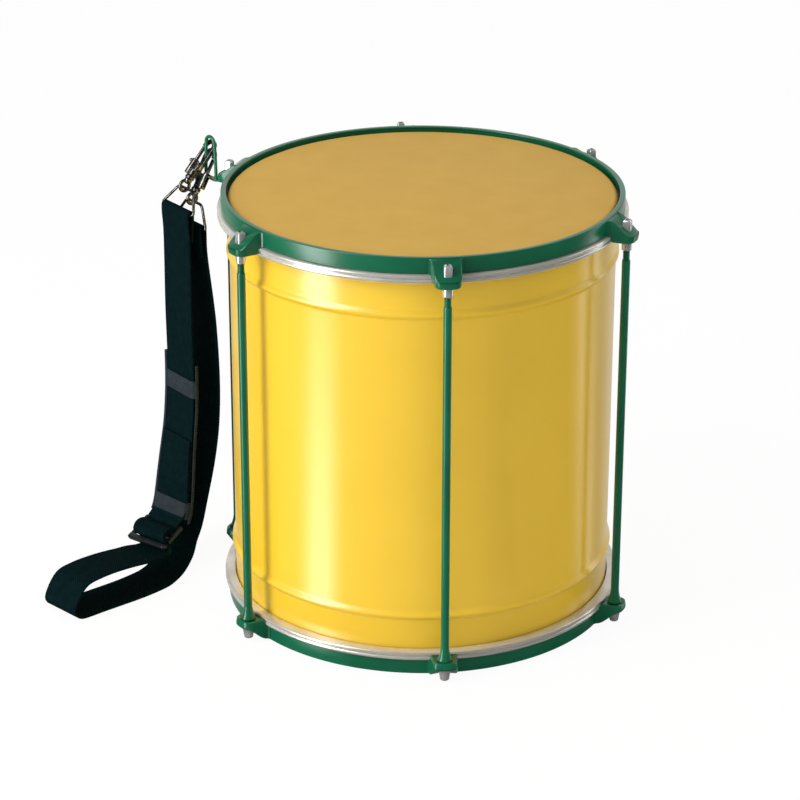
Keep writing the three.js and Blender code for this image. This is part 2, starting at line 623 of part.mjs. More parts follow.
// Snap hook: cast bow with a nose, a side barrel for the sliding bolt and a bored neck for the swivel
function makeSnapHook(name) {
  const outside = SNAP_THROAT_HALF + SNAP_BAR;
  const bow = new THREE.Shape();
  bow.moveTo(-SNAP_NECK_RADIUS, -SNAP_BASE_END);
  bow.quadraticCurveTo(-outside, -SNAP_BASE_END + SNAP_NECK_RADIUS, -outside, -SNAP_SHOULDER);
  bow.lineTo(-outside, SNAP_BOW_CENTRE);
  bow.absarc(0, SNAP_BOW_CENTRE, outside, Math.PI, 0, true);
  bow.lineTo(outside, SNAP_NOSE_END);
  bow.lineTo(SNAP_THROAT_HALF, SNAP_NOSE_END);
  bow.absarc(0, SNAP_BOW_CENTRE, SNAP_THROAT_HALF, 0, Math.PI, false);
  bow.lineTo(-SNAP_THROAT_HALF, SNAP_FLOOR_ROUND - SNAP_FLOOR);
  bow.quadraticCurveTo(-SNAP_THROAT_HALF, -SNAP_FLOOR, SNAP_FLOOR_ROUND - SNAP_THROAT_HALF, -SNAP_FLOOR);
  bow.lineTo(barrelX, -SNAP_FLOOR);
  bow.lineTo(barrelX, -SNAP_BASE_END);
  const options = { depth: SNAP_THICKNESS, bevelEnabled: false, curveSegments: BOW_STEPS };
  const cast = new THREE.ExtrudeGeometry(bow, options).translate(0, 0, -SNAP_THICKNESS / 2);

  const base = outlineShape([
    [-SNAP_NECK_RADIUS, -SNAP_BASE_END - JOIN],
    [barrelX, -SNAP_BASE_END - JOIN],
    [barrelX, -SNAP_FLOOR],
    [-SNAP_THROAT_HALF, -SNAP_FLOOR],
  ]);
  const block = prism(base, -SNAP_BASE_THICKNESS / 2, SNAP_BASE_THICKNESS / 2);

  const boreRadius = PLUNGER_RADIUS + GAP;
  const slotFrom = -STUD_AT - PLUNGER_TRAVEL - STUD_RADIUS - GAP;
  const slotWidth = 2 * (STUD_RADIUS + GAP);
  const slot = new THREE.BoxGeometry(BARREL_RADIUS + OVERRUN, -BARREL_TOP + OVERRUN - slotFrom, slotWidth);
  slot.translate(barrelX + (BARREL_RADIUS + OVERRUN) / 2, (OVERRUN - BARREL_TOP + slotFrom) / 2, 0);
  const pinBore = alongSnap(SWIVEL_PIN_RADIUS + GAP, -SNAP_NECK_END - OVERRUN, OVERRUN - SNAP_FLOOR, 0);
  const hook = solidOf(cast)
    .add(solidOf(block))
    .add(solidOf(alongSnap(SNAP_NECK_RADIUS, -SNAP_NECK_END, JOIN - SNAP_BASE_END, 0)))
    .add(solidOf(alongSnap(SNAP_COLLAR_RADIUS, -SNAP_NECK_END, SNAP_COLLAR_HEIGHT - SNAP_NECK_END, 0)))
    .add(solidOf(alongSnap(BARREL_RADIUS, -BARREL_END, -BARREL_TOP, barrelX)))
    .subtract(solidOf(pinBore))
    .subtract(solidOf(alongSnap(boreRadius, BARREL_CAP - BARREL_END, OVERRUN - BARREL_TOP, barrelX)))
    .subtract(solidOf(slot));
  return meshOf(name, hook, nickel);
}

// Sliding bolt with its thumb stud, closing the throat against the nose
function makeSnapBolt(name) {
  const plunger = solidOf(alongSnap(PLUNGER_RADIUS, -PLUNGER_END, SNAP_NOSE_END - GAP, barrelX));
  const reach = BARREL_RADIUS + STUD_REACH;
  const stud = new THREE.CylinderGeometry(STUD_RADIUS, STUD_RADIUS, reach, SNAP_SEGMENTS);
  stud.rotateZ(Math.PI / 2).translate(barrelX + reach / 2, -STUD_AT, 0);
  return meshOf(name, plunger.add(solidOf(stud)), nickel);
}

// Swivel: headed pin through the hook's neck, collar and eye across the hook
function makeSwivel(name) {
  const head = alongSnap(SWIVEL_HEAD_RADIUS, GAP - SNAP_FLOOR, GAP + SWIVEL_HEAD_HEIGHT - SNAP_FLOOR, 0);
  const collarTop = -SNAP_NECK_END - GAP;
  const pin = alongSnap(SWIVEL_PIN_RADIUS, collarTop - JOIN, GAP + JOIN - SNAP_FLOOR, 0);
  const collar = alongSnap(SWIVEL_COLLAR_RADIUS, collarTop - SWIVEL_COLLAR_HEIGHT, collarTop, 0);
  const eye = new THREE.TorusGeometry(EYE_RADIUS, EYE_WIRE_RADIUS, TUBE_SIDES, EYE_SEGMENTS);
  eye.rotateY(Math.PI / 2).translate(0, -EYE_AT, 0);
  const swivel = solidOf(head).add(solidOf(pin)).add(solidOf(collar)).add(solidOf(eye));
  return meshOf(name, swivel, nickel);
}

// Trapezoid ring of round wire, its narrow side at Y 0 and its wide side below
function makeRing(name) {
  const footHalf = WEB_WIDTH / 2 + RING_FOOT_MARGIN + RING_CORNER;
  const corners = [
    [RING_TOP_HALF, 0],
    [footHalf, -RING_LENGTH],
    [-footHalf, -RING_LENGTH],
    [-RING_TOP_HALF, 0],
  ];
  const points = [[0, 0]];
  corners.forEach((corner, at) => {
    const here = new THREE.Vector2(...corner);
    const before = new THREE.Vector2(...corners[(at + corners.length - 1) % corners.length]);
    const after = new THREE.Vector2(...corners[(at + 1) % corners.length]);
    const start = here.clone().add(before.sub(here).setLength(RING_CORNER));
    const end = here.clone().add(after.sub(here).setLength(RING_CORNER));
    const bend = new THREE.QuadraticBezierCurve(start, here, end);
    if (at === corners.length / 2) points.push([0, -RING_LENGTH]);
    points.push(...bend.getPoints(RING_CORNER_STEPS).map((point) => [point.x, point.y]));
  });
  const half = points.length / 2;
  const closed = [...points, points[0]];
  const sides = [closed.slice(0, half + 1), closed.slice(half)].map((side) => {
    const path = side.map(([x, y]) => new THREE.Vector3(x, y, 0));
    const lead = path[0].x - path[1].x;
    path[0].x += Math.sign(lead) * JOIN;
    path.at(-1).x -= Math.sign(path.at(-2).x - path.at(-1).x) * JOIN;
    const curve = new THREE.CatmullRomCurve3(path, false, 'centripetal');
    return solidOf(tube(curve, RING_WIRE_RADIUS, RING_SIDES, RING_STEPS));
  });
  return meshOf(name, sides[0].add(sides[1]), nickel);
}

// Turn of the sling's lower part at a height
function twistAt(height) {
  const share = 1 - THREE.MathUtils.smoothstep(height, TWIST_FULL_BELOW, TWIST_NONE_ABOVE);
  const turn = new THREE.Matrix4().makeRotationZ(TWIST * share).setPosition(twistOut, 0, 0);
  return turn.multiply(new THREE.Matrix4().makeTranslation(-twistOut, 0, 0));
}

// Cloth turned with the sling's lower part, each point by its own height
function twisted(mesh) {
  const position = mesh.geometry.attributes.position;
  const corner = new THREE.Vector3();
  for (let at = 0; at < position.count; at += 1) {
    corner.fromBufferAttribute(position, at);
    corner.applyMatrix4(twistAt(corner.z));
    position.setXYZ(at, corner.x, corner.y, corner.z);
  }
  return mesh;
}

// Curve in the sling's plane: X outward from the loop, Z up
function slingCurve(points) {
  const path = points.map(([out, up]) => new THREE.Vector3(out, 0, up));
  return new THREE.CatmullRomCurve3(path, false, 'centripetal');
}

// Flat strip of webbing along a curve in the sling's plane
function strip(curve, width, thickness, steps) {
  const section = outlineShape([
    [-width / 2, -thickness / 2],
    [width / 2, -thickness / 2],
    [width / 2, thickness / 2],
    [-width / 2, thickness / 2],
  ]);
  return new THREE.ExtrudeGeometry(section, { extrudePath: curve, steps, bevelEnabled: false });
}

// Cylinder across the sling, for the folds round a bar
function acrossSling(radius, width, [out, up]) {
  return new THREE.CylinderGeometry(radius, radius, width, FOLD_SIDES).translate(out, 0, up);
}

// Webbing with a sewn fold round a bar at one or both ends
function foldedWebbing(name, body, bars) {
  let cloth = body;
  for (const { at, radius } of bars) {
    cloth = cloth.add(solidOf(acrossSling(radius + GAP + WEB_THICKNESS, WEB_WIDTH, at)));
  }
  for (const { at, radius } of bars) {
    cloth = cloth.subtract(solidOf(acrossSling(radius + GAP, WEB_WIDTH + OVERRUN, at)));
  }
  return meshOf(name, cloth, webbing);
}

function sliderPoint(along) {
  return [sliderOut + along * Math.cos(SLIDER_TILT), sliderUp - along * Math.sin(SLIDER_TILT)];
}

// Where a snap hook sits on the loop's leg, and the lines of the hook and of the ring that hangs in its eye
function hangingSet(drop, lean, shift, ringLean) {
  const crossing = loopTop - drop;
  const flare = (archCentre - crossing + SNAP_LEG_PLAY) / (archCentre - plateTop);
  const legOutside = LOOP_HALF + (LOOP_FOOT_HALF - LOOP_HALF) * flare + LOOP_WIRE_RADIUS + GAP;
  const up = new THREE.Vector3(-Math.sin(lean), 0, Math.cos(lean));
  const middle = new THREE.Vector3(0, SNAP_THROAT_HALF - legOutside, crossing).addScaledVector(up, shift);
  const eyeFloor = EYE_AT + EYE_RADIUS - EYE_WIRE_RADIUS - GAP - RING_WIRE_RADIUS;
  const ringTop = middle.clone().addScaledVector(up, -eyeFloor).setY(0);
  const ringUp = new THREE.Vector3(-Math.sin(ringLean), 0, Math.cos(ringLean));
  const foot = ringTop.clone().addScaledVector(ringUp, -RING_LENGTH);
  return { up, middle, ringTop, ringUp, ringFoot: [foot.x, foot.z] };
}

const setA = hangingSet(SNAP_A_DROP, SNAP_A_LEAN, SNAP_A_SHIFT, RING_A_LEAN);
const setB = hangingSet(SNAP_B_DROP, SNAP_B_LEAN, SNAP_B_SHIFT, RING_B_LEAN);

// Front run: from the first ring down over the pad to the slider's upper bar
const upperBar = sliderPoint(-SLIDER_SPACING);
const frontCurve = slingCurve([
  [setA.ringFoot[0], setA.ringFoot[1] - foldDepth],
  ...FRONT_RUN_SHARES.map(([out, up]) => [
    sliderOut + (setA.ringFoot[0] - sliderOut) * out,
    sliderUp + (setA.ringFoot[1] - sliderUp) * up,
  ]),
  ...FRONT_TURN_SHARES.map(([out, up]) => [sliderOut + SLIDER_SPACING * out, sliderUp + SLIDER_SPACING * up]),
  [upperBar[0] - sliderFold, upperBar[1]],
]);

function makeFrontWebbing() {
  const body = solidOf(strip(frontCurve, WEB_WIDTH, WEB_THICKNESS, WEB_FRONT_STEPS));
  return twisted(foldedWebbing('front_webbing', body, [
    { at: setA.ringFoot, radius: RING_WIRE_RADIUS },
    { at: upperBar, radius: SLIDER_BAR_RADIUS },
  ]));
}

// Main run: from the slider round the loop, back along the floor and up to the second ring
function makeMainWebbing() {
  const lower = sliderPoint(SLIDER_SPACING);
  const middle = sliderPoint(0);
  const flatFrom = FLOOR_LOOP_REACH * FLAT_FROM_SHARE;
  const flat = Array.from({ length: FLAT_POINTS }, (_, at) => {
    const share = at / (FLAT_POINTS - 1);
    return [flatFrom + (flatTo - flatFrom) * share, WEB_THICKNESS / 2];
  });
  const curve = slingCurve([
    [middle[0] - sliderFold * Math.sin(SLIDER_TILT), middle[1] - sliderFold * Math.cos(SLIDER_TILT)],
    [lower[0] - passDepth * Math.sin(SLIDER_TILT / 2), lower[1] - passDepth * Math.cos(SLIDER_TILT / 2)],
    ...FLOOR_RUN_SHARES.map(([out, up]) => [FLOOR_LOOP_REACH * out, FLOOR_LOOP_HEIGHT * up]),
    ...flat,
    ...BACK_RUN_SHARES.map(([out, up]) => [
      flatTo + (setB.ringFoot[0] - flatTo) * out,
      setB.ringFoot[1] * up,
    ]),
    [setB.ringFoot[0], setB.ringFoot[1] - foldDepth],
  ]);
  const body = solidOf(strip(curve, WEB_WIDTH, WEB_THICKNESS, WEB_MAIN_STEPS));
  const mesh = foldedWebbing('main_webbing', body, [
    { at: middle, radius: SLIDER_BAR_RADIUS },
    { at: setB.ringFoot, radius: RING_WIRE_RADIUS },
  ]);
  const driftFrom = FLOOR_LOOP_REACH * DRIFT_FROM_SHARE;
  const driftTo = FLOOR_LOOP_REACH * DRIFT_TO_SHARE;
  const position = mesh.geometry.attributes.position;
  for (let at = 0; at < position.count; at += 1) {
    const out = THREE.MathUtils.smoothstep(position.getX(at), driftFrom, driftTo);
    position.setY(at, position.getY(at) + FLOOR_LOOP_DRIFT * out);
    position.setZ(at, Math.max(position.getZ(at), 0));
  }
  return twisted(mesh);
}

// Share along a curve in the sling's plane at which it passes a height
function shareAtHeight(curve, height) {
  let low = 0;
  let high = 1;
  for (let round = 0; round < SEARCH_ROUNDS; round += 1) {
    const middle = (low + high) / 2;
    if (curve.getPointAt(middle).z > height) low = middle;
    else high = middle;
  }
  return low;
}

// Place on the front run with its directions along and square to the webbing, towards the drum
function frontFrame(share) {
  const point = frontCurve.getPointAt(share);
  const along = frontCurve.getTangentAt(share);
  return { point, along, inward: new THREE.Vector3(along.z, 0, -along.x) };
}

// Shoulder pad: crowned section that thins at the ends and along one sewn channel
function makePad() {
  const from = shareAtHeight(frontCurve, padTop);
  const to = shareAtHeight(frontCurve, padBottom);
  const edge = PAD_THICKNESS * PAD_EDGE_SHARE / 2;
  const crown = PAD_THICKNESS / 2;
  const seamAt = padBottom + PAD_LENGTH * PAD_SEAM_SHARE;
  const section = [];
  for (let step = 0; step <= PAD_SECTION_STEPS; step += 1) {
    const share = 2 * step / PAD_SECTION_STEPS - 1;
    section.push([share * padWidth / 2, -crown + (crown - edge) * share ** 2]);
  }
  const outline = outlineShape([...section, ...section.map(([x, y]) => [-x, -y])]);
  const points = Array.from({ length: PAD_STEPS + 1 }, (_, step) => {
    const { point, inward } = frontFrame(from + (to - from) * step / PAD_STEPS);
    return point.addScaledVector(inward, WEB_THICKNESS / 2 + GAP + crown);
  });
  const curve = new THREE.CatmullRomCurve3(points);
  const options = { extrudePath: curve, steps: PAD_STEPS, bevelEnabled: false };
  const pad = new THREE.ExtrudeGeometry(outline, options);
  const position = pad.attributes.position;
  const corner = new THREE.Vector3();
  for (let at = 0; at < position.count; at += 1) {
    corner.fromBufferAttribute(position, at);
    const height = THREE.MathUtils.clamp(corner.z, padBottom, padTop);
    const { point, inward } = frontFrame(shareAtHeight(frontCurve, height));
    const depth = corner.clone().sub(point).dot(inward);
    const near = WEB_THICKNESS / 2 + GAP;
    const fromEnd = Math.min(height - padBottom, padTop - height) / PAD_END_ROUND;
    const ends = 1 - (1 - edge / crown) * Math.max(0, 1 - fromEnd) ** 2;
    const seam = PAD_SEAM_DEPTH * Math.max(0, 1 - Math.abs(height - seamAt) / PAD_SEAM_WIDTH);
    const thinner = (depth - near) * ends - seam * Math.max(0, depth - near - crown) / crown;
    corner.addScaledVector(inward, near + thinner - depth);
    position.setXYZ(at, corner.x, corner.y, corner.z);
  }
  return twisted(meshOf('shoulder_pad', pad, padding));
}

// Elastic band: a flat sleeve round the pad and the webbing in front of it
function makeBand(name, height) {
  const width = padWidth + 2 * (GAP + BAND_WALL);
  const depth = WEB_THICKNESS + PAD_THICKNESS + 3 * GAP + 2 * BAND_WALL;
  const sleeve = outlineShape([
    [-depth / 2, -width / 2],
    [depth / 2, -width / 2],
    [depth / 2, width / 2],
    [-depth / 2, width / 2],
  ]);
  const inX = depth / 2 - BAND_WALL;
  const inY = width / 2 - BAND_WALL;
  sleeve.holes.push(outlineShape([[-inX, -inY], [-inX, inY], [inX, inY], [inX, -inY]]));
  const { point, along, inward } = frontFrame(shareAtHeight(frontCurve, height));
  const band = meshOf(name, prism(sleeve, -BAND_HEIGHT / 2, BAND_HEIGHT / 2), elastic);
  const centre = point.addScaledVector(inward, depth / 2 - BAND_WALL - GAP - WEB_THICKNESS / 2);
  place(band, centre, inward, new THREE.Vector3().crossVectors(along, inward));
  band.applyMatrix4(twistAt(height));
  return band;
}

// Slider buckle: three round bars between two side rails
function makeSlider() {
  const width = WEB_WIDTH + 2 * (RING_FOOT_MARGIN + SLIDER_RAIL);
  const railLength = 2 * (SLIDER_SPACING + SLIDER_BAR_RADIUS);
  const railAt = width / 2 - SLIDER_RAIL / 2;
  const parts = [-railAt, railAt].map((across) => (
    new THREE.BoxGeometry(railLength, SLIDER_RAIL, 2 * SLIDER_BAR_RADIUS).translate(0, across, 0)
  ));
  for (const along of [-SLIDER_SPACING, 0, SLIDER_SPACING]) {
    const length = width - SLIDER_RAIL;
    const bar = new THREE.CylinderGeometry(SLIDER_BAR_RADIUS, SLIDER_BAR_RADIUS, length, TUBE_SIDES);
    parts.push(bar.translate(along, 0, 0));
  }
  const solid = parts.map(solidOf).reduce((whole, part) => whole.add(part));
  const mesh = meshOf('slider_buckle', solid, moulded);
  mesh.rotation.y = SLIDER_TILT;
  mesh.position.set(sliderOut, 0, sliderUp);
  mesh.updateMatrix();
  mesh.applyMatrix4(twistAt(sliderUp));
  return mesh;
}

// One snap hook with its bolt, swivel and ring, going round the leg of the loop
function makeSnapSet(letter, { up, middle, ringTop, ringUp }, boltSide) {
  const side = new THREE.Vector3(0, boltSide, 0);
  const parts = [
    makeSnapHook(`snap_hook_${letter}`),
    makeSnapBolt(`snap_bolt_${letter}`),
    makeSwivel(`snap_swivel_${letter}`),
  ].map((mesh) => place(mesh, middle, side, up));
  const ring = place(makeRing(`sling_ring_${letter}`), ringTop, new THREE.Vector3(0, 1, 0), ringUp);
  return [...parts, ring];
}

const part = new THREE.Group();

const drum = new THREE.Group();
drum.rotation.z = LUG_TURN;
drum.add(
  makeShell(),
  makeHead('batter_head'),
  turnedOver(makeHead('resonant_head')),
  makeFleshHoop('batter_flesh_hoop'),
  turnedOver(makeFleshHoop('resonant_flesh_hoop')),
  makeHoop('batter_hoop'),
  turnedOver(makeHoop('resonant_hoop')),
);
for (let lug = 0; lug < LUG_COUNT; lug += 1) {
  const drop = lug === BRACKET_LUG ? PLATE_THICKNESS + GAP : 0;
  const station = new THREE.Group();
  const pieces = [
    makeKeyBolt(`key_bolt_${lug + 1}`, threadMeet - drop),
    makeWasher(`washer_${lug + 1}`),
    makeFerrule(`ferrule_${lug + 1}`, ferruleTop - drop),
    makeRod(`tension_rod_${lug + 1}`, drop),
    makeBottomNut(`bottom_nut_${lug + 1}`),
  ];
  for (const piece of pieces) piece.position.x = lugRadius;
  station.add(...pieces);
  station.rotation.z = lug * 2 * Math.PI / LUG_COUNT - Math.PI / 2;
  drum.add(station);
}

const bracket = makeBracket(SLING_TURN - bracketAngle);
bracket.rotation.z = bracketAngle;

const sling = new THREE.Group();
sling.position.set(loopRadius * Math.cos(bracketAngle), loopRadius * Math.sin(bracketAngle), 0);
sling.rotation.z = SLING_TURN;
sling.add(
  ...makeSnapSet('a', setA, -1),
  ...makeSnapSet('b', setB, 1),
  makeFrontWebbing(),
  makeMainWebbing(),
  makePad(),
  makeBand('pad_band_top', padTop - BAND_FROM_PAD_TOP),
  makeBand('pad_band_bottom', padBottom + BAND_FROM_PAD_BOTTOM),
  makeSlider(),
);

part.add(drum, bracket, sling);

export default part;
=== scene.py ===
import bisect
import json
import math

import bmesh
import bpy
from mathutils import Matrix, Vector


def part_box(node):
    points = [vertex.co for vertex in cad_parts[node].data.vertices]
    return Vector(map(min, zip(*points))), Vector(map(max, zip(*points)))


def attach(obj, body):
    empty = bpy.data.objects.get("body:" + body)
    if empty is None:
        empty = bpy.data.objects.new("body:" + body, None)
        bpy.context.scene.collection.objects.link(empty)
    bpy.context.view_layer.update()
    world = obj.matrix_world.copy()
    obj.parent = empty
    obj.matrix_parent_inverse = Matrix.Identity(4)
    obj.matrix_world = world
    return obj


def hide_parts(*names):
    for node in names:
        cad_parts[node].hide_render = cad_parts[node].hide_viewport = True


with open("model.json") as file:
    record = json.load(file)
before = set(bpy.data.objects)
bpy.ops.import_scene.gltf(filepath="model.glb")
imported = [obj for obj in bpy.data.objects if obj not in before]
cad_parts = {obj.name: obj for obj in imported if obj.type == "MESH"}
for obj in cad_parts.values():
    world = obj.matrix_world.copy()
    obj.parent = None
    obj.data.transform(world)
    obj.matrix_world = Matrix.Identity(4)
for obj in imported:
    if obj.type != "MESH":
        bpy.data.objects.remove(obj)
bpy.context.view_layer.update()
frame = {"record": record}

# Shapes are drawn in millimetres and made metres when a piece is finished
MM = 0.001
FULL_TURN = 2 * math.pi
RING_STEPS = 288
SMALL_STEPS = 32
BORE_STEPS = 24
WIRE_ROUNDNESS = 6
WELD = 0.0005
SHARP = math.radians(34)


def in_mm(corner):
    return Vector(corner) / MM


def middle_of(node):
    low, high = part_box(node)
    return in_mm((low + high) / 2)


def height_of(node):
    low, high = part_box(node)
    return low.z / MM, high.z / MM


# Drum, from the frame
LUGS = range(1, 7)
lug_middle = {lug: middle_of(f"key_bolt_{lug}") for lug in LUGS}
lug_radius = sum(math.hypot(at.x, at.y) for at in lug_middle.values()) / len(lug_middle)
lug_angle = {lug: math.atan2(at.y, at.x) for lug, at in lug_middle.items()}
bracket_lug = 5
HOOP_HEIGHT = 12.5

drum_height = height_of("batter_hoop")[1]
hoop_bottom = drum_height - HOOP_HEIGHT


def mesh_of(name, bm):
    """What is drawn, as a mesh of its own."""
    mesh = bpy.data.meshes.new(name)
    bm.to_mesh(mesh)
    bm.free()
    return mesh


def placed(name, data):
    """An object linked to the scene."""
    thing = bpy.data.objects.new(name, data)
    bpy.context.scene.collection.objects.link(thing)
    return thing


# Camera, fitted to the photograph: 800 pixels across for a 36 mm sensor
SENSOR = 36
PHOTO_WIDTH = 800
FOCAL_PIXELS = 2903.6
CAMERA_PLACE = Vector((0, -2148.7, 1087.3))
CAMERA_PAN = -0.0082
CAMERA_TILT = 0.4060
CAMERA_ROLL = 0.0018


def add_camera():
    data = bpy.data.cameras.new("photo_camera")
    data.sensor_width = SENSOR
    data.lens = FOCAL_PIXELS * SENSOR / PHOTO_WIDTH
    data.clip_start = 0.05
    data.clip_end = 20
    camera = placed("photo_camera", data)
    turn = (
        Matrix.Rotation(-CAMERA_PAN, 4, "Z")
        @ Matrix.Rotation(math.pi / 2 - CAMERA_TILT, 4, "X")
        @ Matrix.Rotation(CAMERA_ROLL, 4, "Z")
    )
    camera.matrix_world = Matrix.Translation(CAMERA_PLACE * MM) @ turn
    bpy.context.scene.camera = camera


# Colour and material helpers


def colour(hex_code):
    """An sRGB hex value as linear red, green, blue and alpha."""
    channels = [int(hex_code[at:at + 2], 16) / 255 for at in (1, 3, 5)]
    linear = [c / 12.92 if c <= 0.04045 else ((c + 0.055) / 1.055) ** 2.4 for c in channels]
    return (*linear, 1)


def set_inputs(node, **values):
    """Each named input set to a value or linked to a socket; _0 is the first input."""
    for name, value in values.items():
        key = int(name[1:]) if name[0] == "_" else name.replace("_", " ")
        if isinstance(value, bpy.types.NodeSocket):
            node.id_data.links.new(value, node.inputs[key])
        else:
            node.inputs[key].default_value = value


def add_node(tree, kind, settings=(), stops=(), output=0, **inputs):
    """A node with its settings and inputs, given as its output; stops are a ramp's places and tones."""
    node = tree.nodes.new("ShaderNode" + kind)
    for name, value in dict(settings).items():
        setattr(node, name, value)
    for at, (place, tone) in enumerate(stops):
        element = node.color_ramp.elements[at]
        element.position = place
        element.color = colour(tone) if isinstance(tone, str) else (tone, tone, tone, 1)
    set_inputs(node, **inputs)
    return node.outputs[output]


def new_material(name):
    """A material with its Principled surface, and the object coordinates that its textures use."""
    material = bpy.data.materials.new(name)
    material.use_nodes = True
    tree = material.node_tree
    return material, tree, tree.nodes["Principled BSDF"], add_node(tree, "TexCoord", output="Object")


def enamel(name, base, deep, peel_mm, gloss):
    """Baked enamel: an even colour under a soft orange peel, which spreads each reflection a little.

    gloss is the strength of its clear coat.
    """
    material, tree, shader, place = new_material(name)
    drift = add_node(tree, "TexNoise", Vector=place, Scale=1 / (70 * MM), Detail=2.0)
    peel = add_node(tree, "TexNoise", Vector=place, Scale=1 / (peel_mm * MM), Detail=2.0)
    haze = add_node(tree, "TexNoise", Vector=place, Scale=1 / (2 * MM), Detail=4.0)
    set_inputs(
        shader,
        Base_Color=add_node(tree, "ValToRGB", stops=[(0.35, deep), (0.65, base)], Fac=drift),
        Roughness=add_node(tree, "ValToRGB", stops=[(0.4, 0.28), (0.6, 0.3)], Fac=haze),
        Normal=add_node(tree, "Bump", Height=peel, Distance=0.006 * MM),
        Coat_Weight=gloss, Coat_Roughness=0.24, Coat_IOR=1.5, IOR=1.5, Specular_IOR_Level=1.5 * gloss,
    )
    return material


def clouded(name, tones, spread, cloud, grain, relief_mm, **surface):
    """A surface whose colour and roughness drift in soft clouds, under a fine raised grain.

    cloud and grain are each a size in millimetres and a detail.
    """
    material, tree, shader, place = new_material(name)
    soft, fine = (
        add_node(tree, "TexNoise", Vector=place, Scale=1 / (size * MM), Detail=detail)
        for size, detail in (cloud, grain)
    )
    set_inputs(
        shader,
        Base_Color=add_node(tree, "ValToRGB", stops=tones, Fac=soft),
        Roughness=add_node(tree, "ValToRGB", stops=spread, Fac=soft),
        Normal=add_node(tree, "Bump", Height=fine, Distance=relief_mm * MM),
        **surface,
    )
    return material


def metal(name, tone, dull, roughness, grain_mm, metallic=1.0):
    """Plated metal: it dulls a little in clouds between its polishing marks.

    The marks are drawn coarser than real ones, so that they show.
    """
    return clouded(
        name, [(0.35, dull), (0.6, tone)], [(0.3, roughness), (0.7, roughness + 0.1)],
        cloud=(6, 4.0), grain=(grain_mm, 2.0), relief_mm=0.01, Metallic=metallic,
    )


def rolled_aluminium():
    """Rolled and anodised aluminium: fine lines run round the ring, and its skin scatters some light.

    The lines are drawn coarser than real ones, so that they show.
    """
    material, tree, shader, place = new_material("rolled_aluminium")
    drawn_out = add_node(tree, "Mapping", Vector=place, Scale=(0.02, 0.02, 1))
    lines = add_node(tree, "TexNoise", Vector=drawn_out, Scale=1 / (0.5 * MM), Detail=3.0)
    set_inputs(
        shader,
        Base_Color=add_node(tree, "ValToRGB", stops=[(0.3, "#CFCBC2"), (0.7, "#EEEBE3")], Fac=lines),
        Normal=add_node(tree, "Bump", Height=lines, Distance=0.02 * MM),
        Metallic=0.62, Roughness=0.24,
    )
    return material


def cloth(name, gap_shade_and_wear_tone, light, thread_mm, relief_mm, laid_out=True):
    """Woven narrow fabric of dull yarn: threads cross, and the hollows between them are darkened with painted
    shade.

    The threads are drawn about twice as coarse as real ones, so that they show.
    """
    material, tree, shader, place = new_material(name)
    if laid_out:
        way = add_node(tree, "TexCoord", output="UV")
        axes = ("X", "Y")
    else:
        way = add_node(tree, "Mapping", Vector=place, Rotation=(0, 0, -SLING_TURN))
        axes = ("Y", "Z")
    pitch = FULL_TURN / (thread_mm * MM)
    waves = []
    for axis in axes:
        along = add_node(tree, "SeparateXYZ", output=axis, Vector=way)
        scaled = add_node(tree, "Math", {"operation": "MULTIPLY"}, _0=along, _1=pitch)
        waves.append(add_node(tree, "Math", {"operation": "SINE"}, _0=scaled))
    crossed = add_node(tree, "Math", {"operation": "MULTIPLY"}, _0=waves[0], _1=waves[1])
    level = add_node(tree, "MapRange", Value=crossed, From_Min=-1.0)
    wear = add_node(tree, "TexNoise", Vector=place, Scale=1 / (5 * MM), Detail=8.0, Roughness=0.75)
    # Painted shade: the colour darkens where the threads dip between their crossings, mottled further by
    # random wear
    gap_shade_and_wear = add_node(tree, "Math", {"operation": "MULTIPLY"}, _0=level, _1=wear)
    set_inputs(
        shader,
        Base_Color=add_node(tree, "ValToRGB", stops=[(0.08, gap_shade_and_wear_tone), (0.46, light)], Fac=gap_shade_and_wear),
        Normal=add_node(tree, "Bump", Height=level, Distance=relief_mm * MM),
        Roughness=0.8, IOR=1.45, Specular_IOR_Level=0.01,
    )
    return material


# Heading of the sling's plane, which the elastic's weave follows too
SLING_TURN = math.radians(218)

MATERIALS = {
    "shell_enamel": enamel("yellow_shell_enamel", "#E3B927", "#E0B624", peel_mm=2.5, gloss=0.56),
    "hoop_enamel": enamel("green_hoop_enamel", "#046343", "#03573A", peel_mm=1.6, gloss=0.34),
    # A coat of fine grit on polyester film: flat tan, faintly cloudy, with hardly any gloss
    "head_film": clouded(
        "coated_polyester_film", [(0.3, "#BE9745"), (0.7, "#C39C4C")], [(0.3, 0.55), (0.7, 0.62)],
        cloud=(22, 5.0), grain=(0.7, 3.0), relief_mm=0.03, IOR=1.55, Specular_IOR_Level=0.1,
    ),
    "hoop_aluminium": rolled_aluminium(),
    # Chrome under a thin haze, which scatters part of the light, so it is less than wholly metallic
    "plated_steel": metal("bright_chromed_steel", "#E8E6E6", "#CFCCCC", 0.16, 0.5, 0.7),
    # Nickel on a zinc casting: darker and warmer than chrome, with blurred reflections
    "nickel_plate": metal("nickel_plated_zinc", "#918F89", "#55544F", 0.22, 0.4),
    # Each cloth's first tone is the painted shade in the hollows between its threads, and in its worn patches
    "webbing": cloth("woven_nylon_webbing", "#02090A", "#0C2023", 2.4, 0.2),
    "pad_fabric": cloth("woven_polyester_cover", "#010405", "#071113", 2, 0.15),
    "elastic": cloth("knitted_elastic", "#1B2124", "#333B3F", 1.8, 0.12, laid_out=False),
    # Moulded acetal: its spark-eroded grain, drawn coarser than real to show, dulls the black
    "moulded_plastic": clouded(
        "moulded_acetal", [(0.35, "#12191B"), (0.65, "#192123")], [(0.3, 0.3), (0.7, 0.4)],
        cloud=(8, 4.0), grain=(0.5, 3.0), relief_mm=0.02, IOR=1.48,
    ),
}


# Outline and mesh helpers, in millimetres; the points of an outline that is turned are (radius, height)


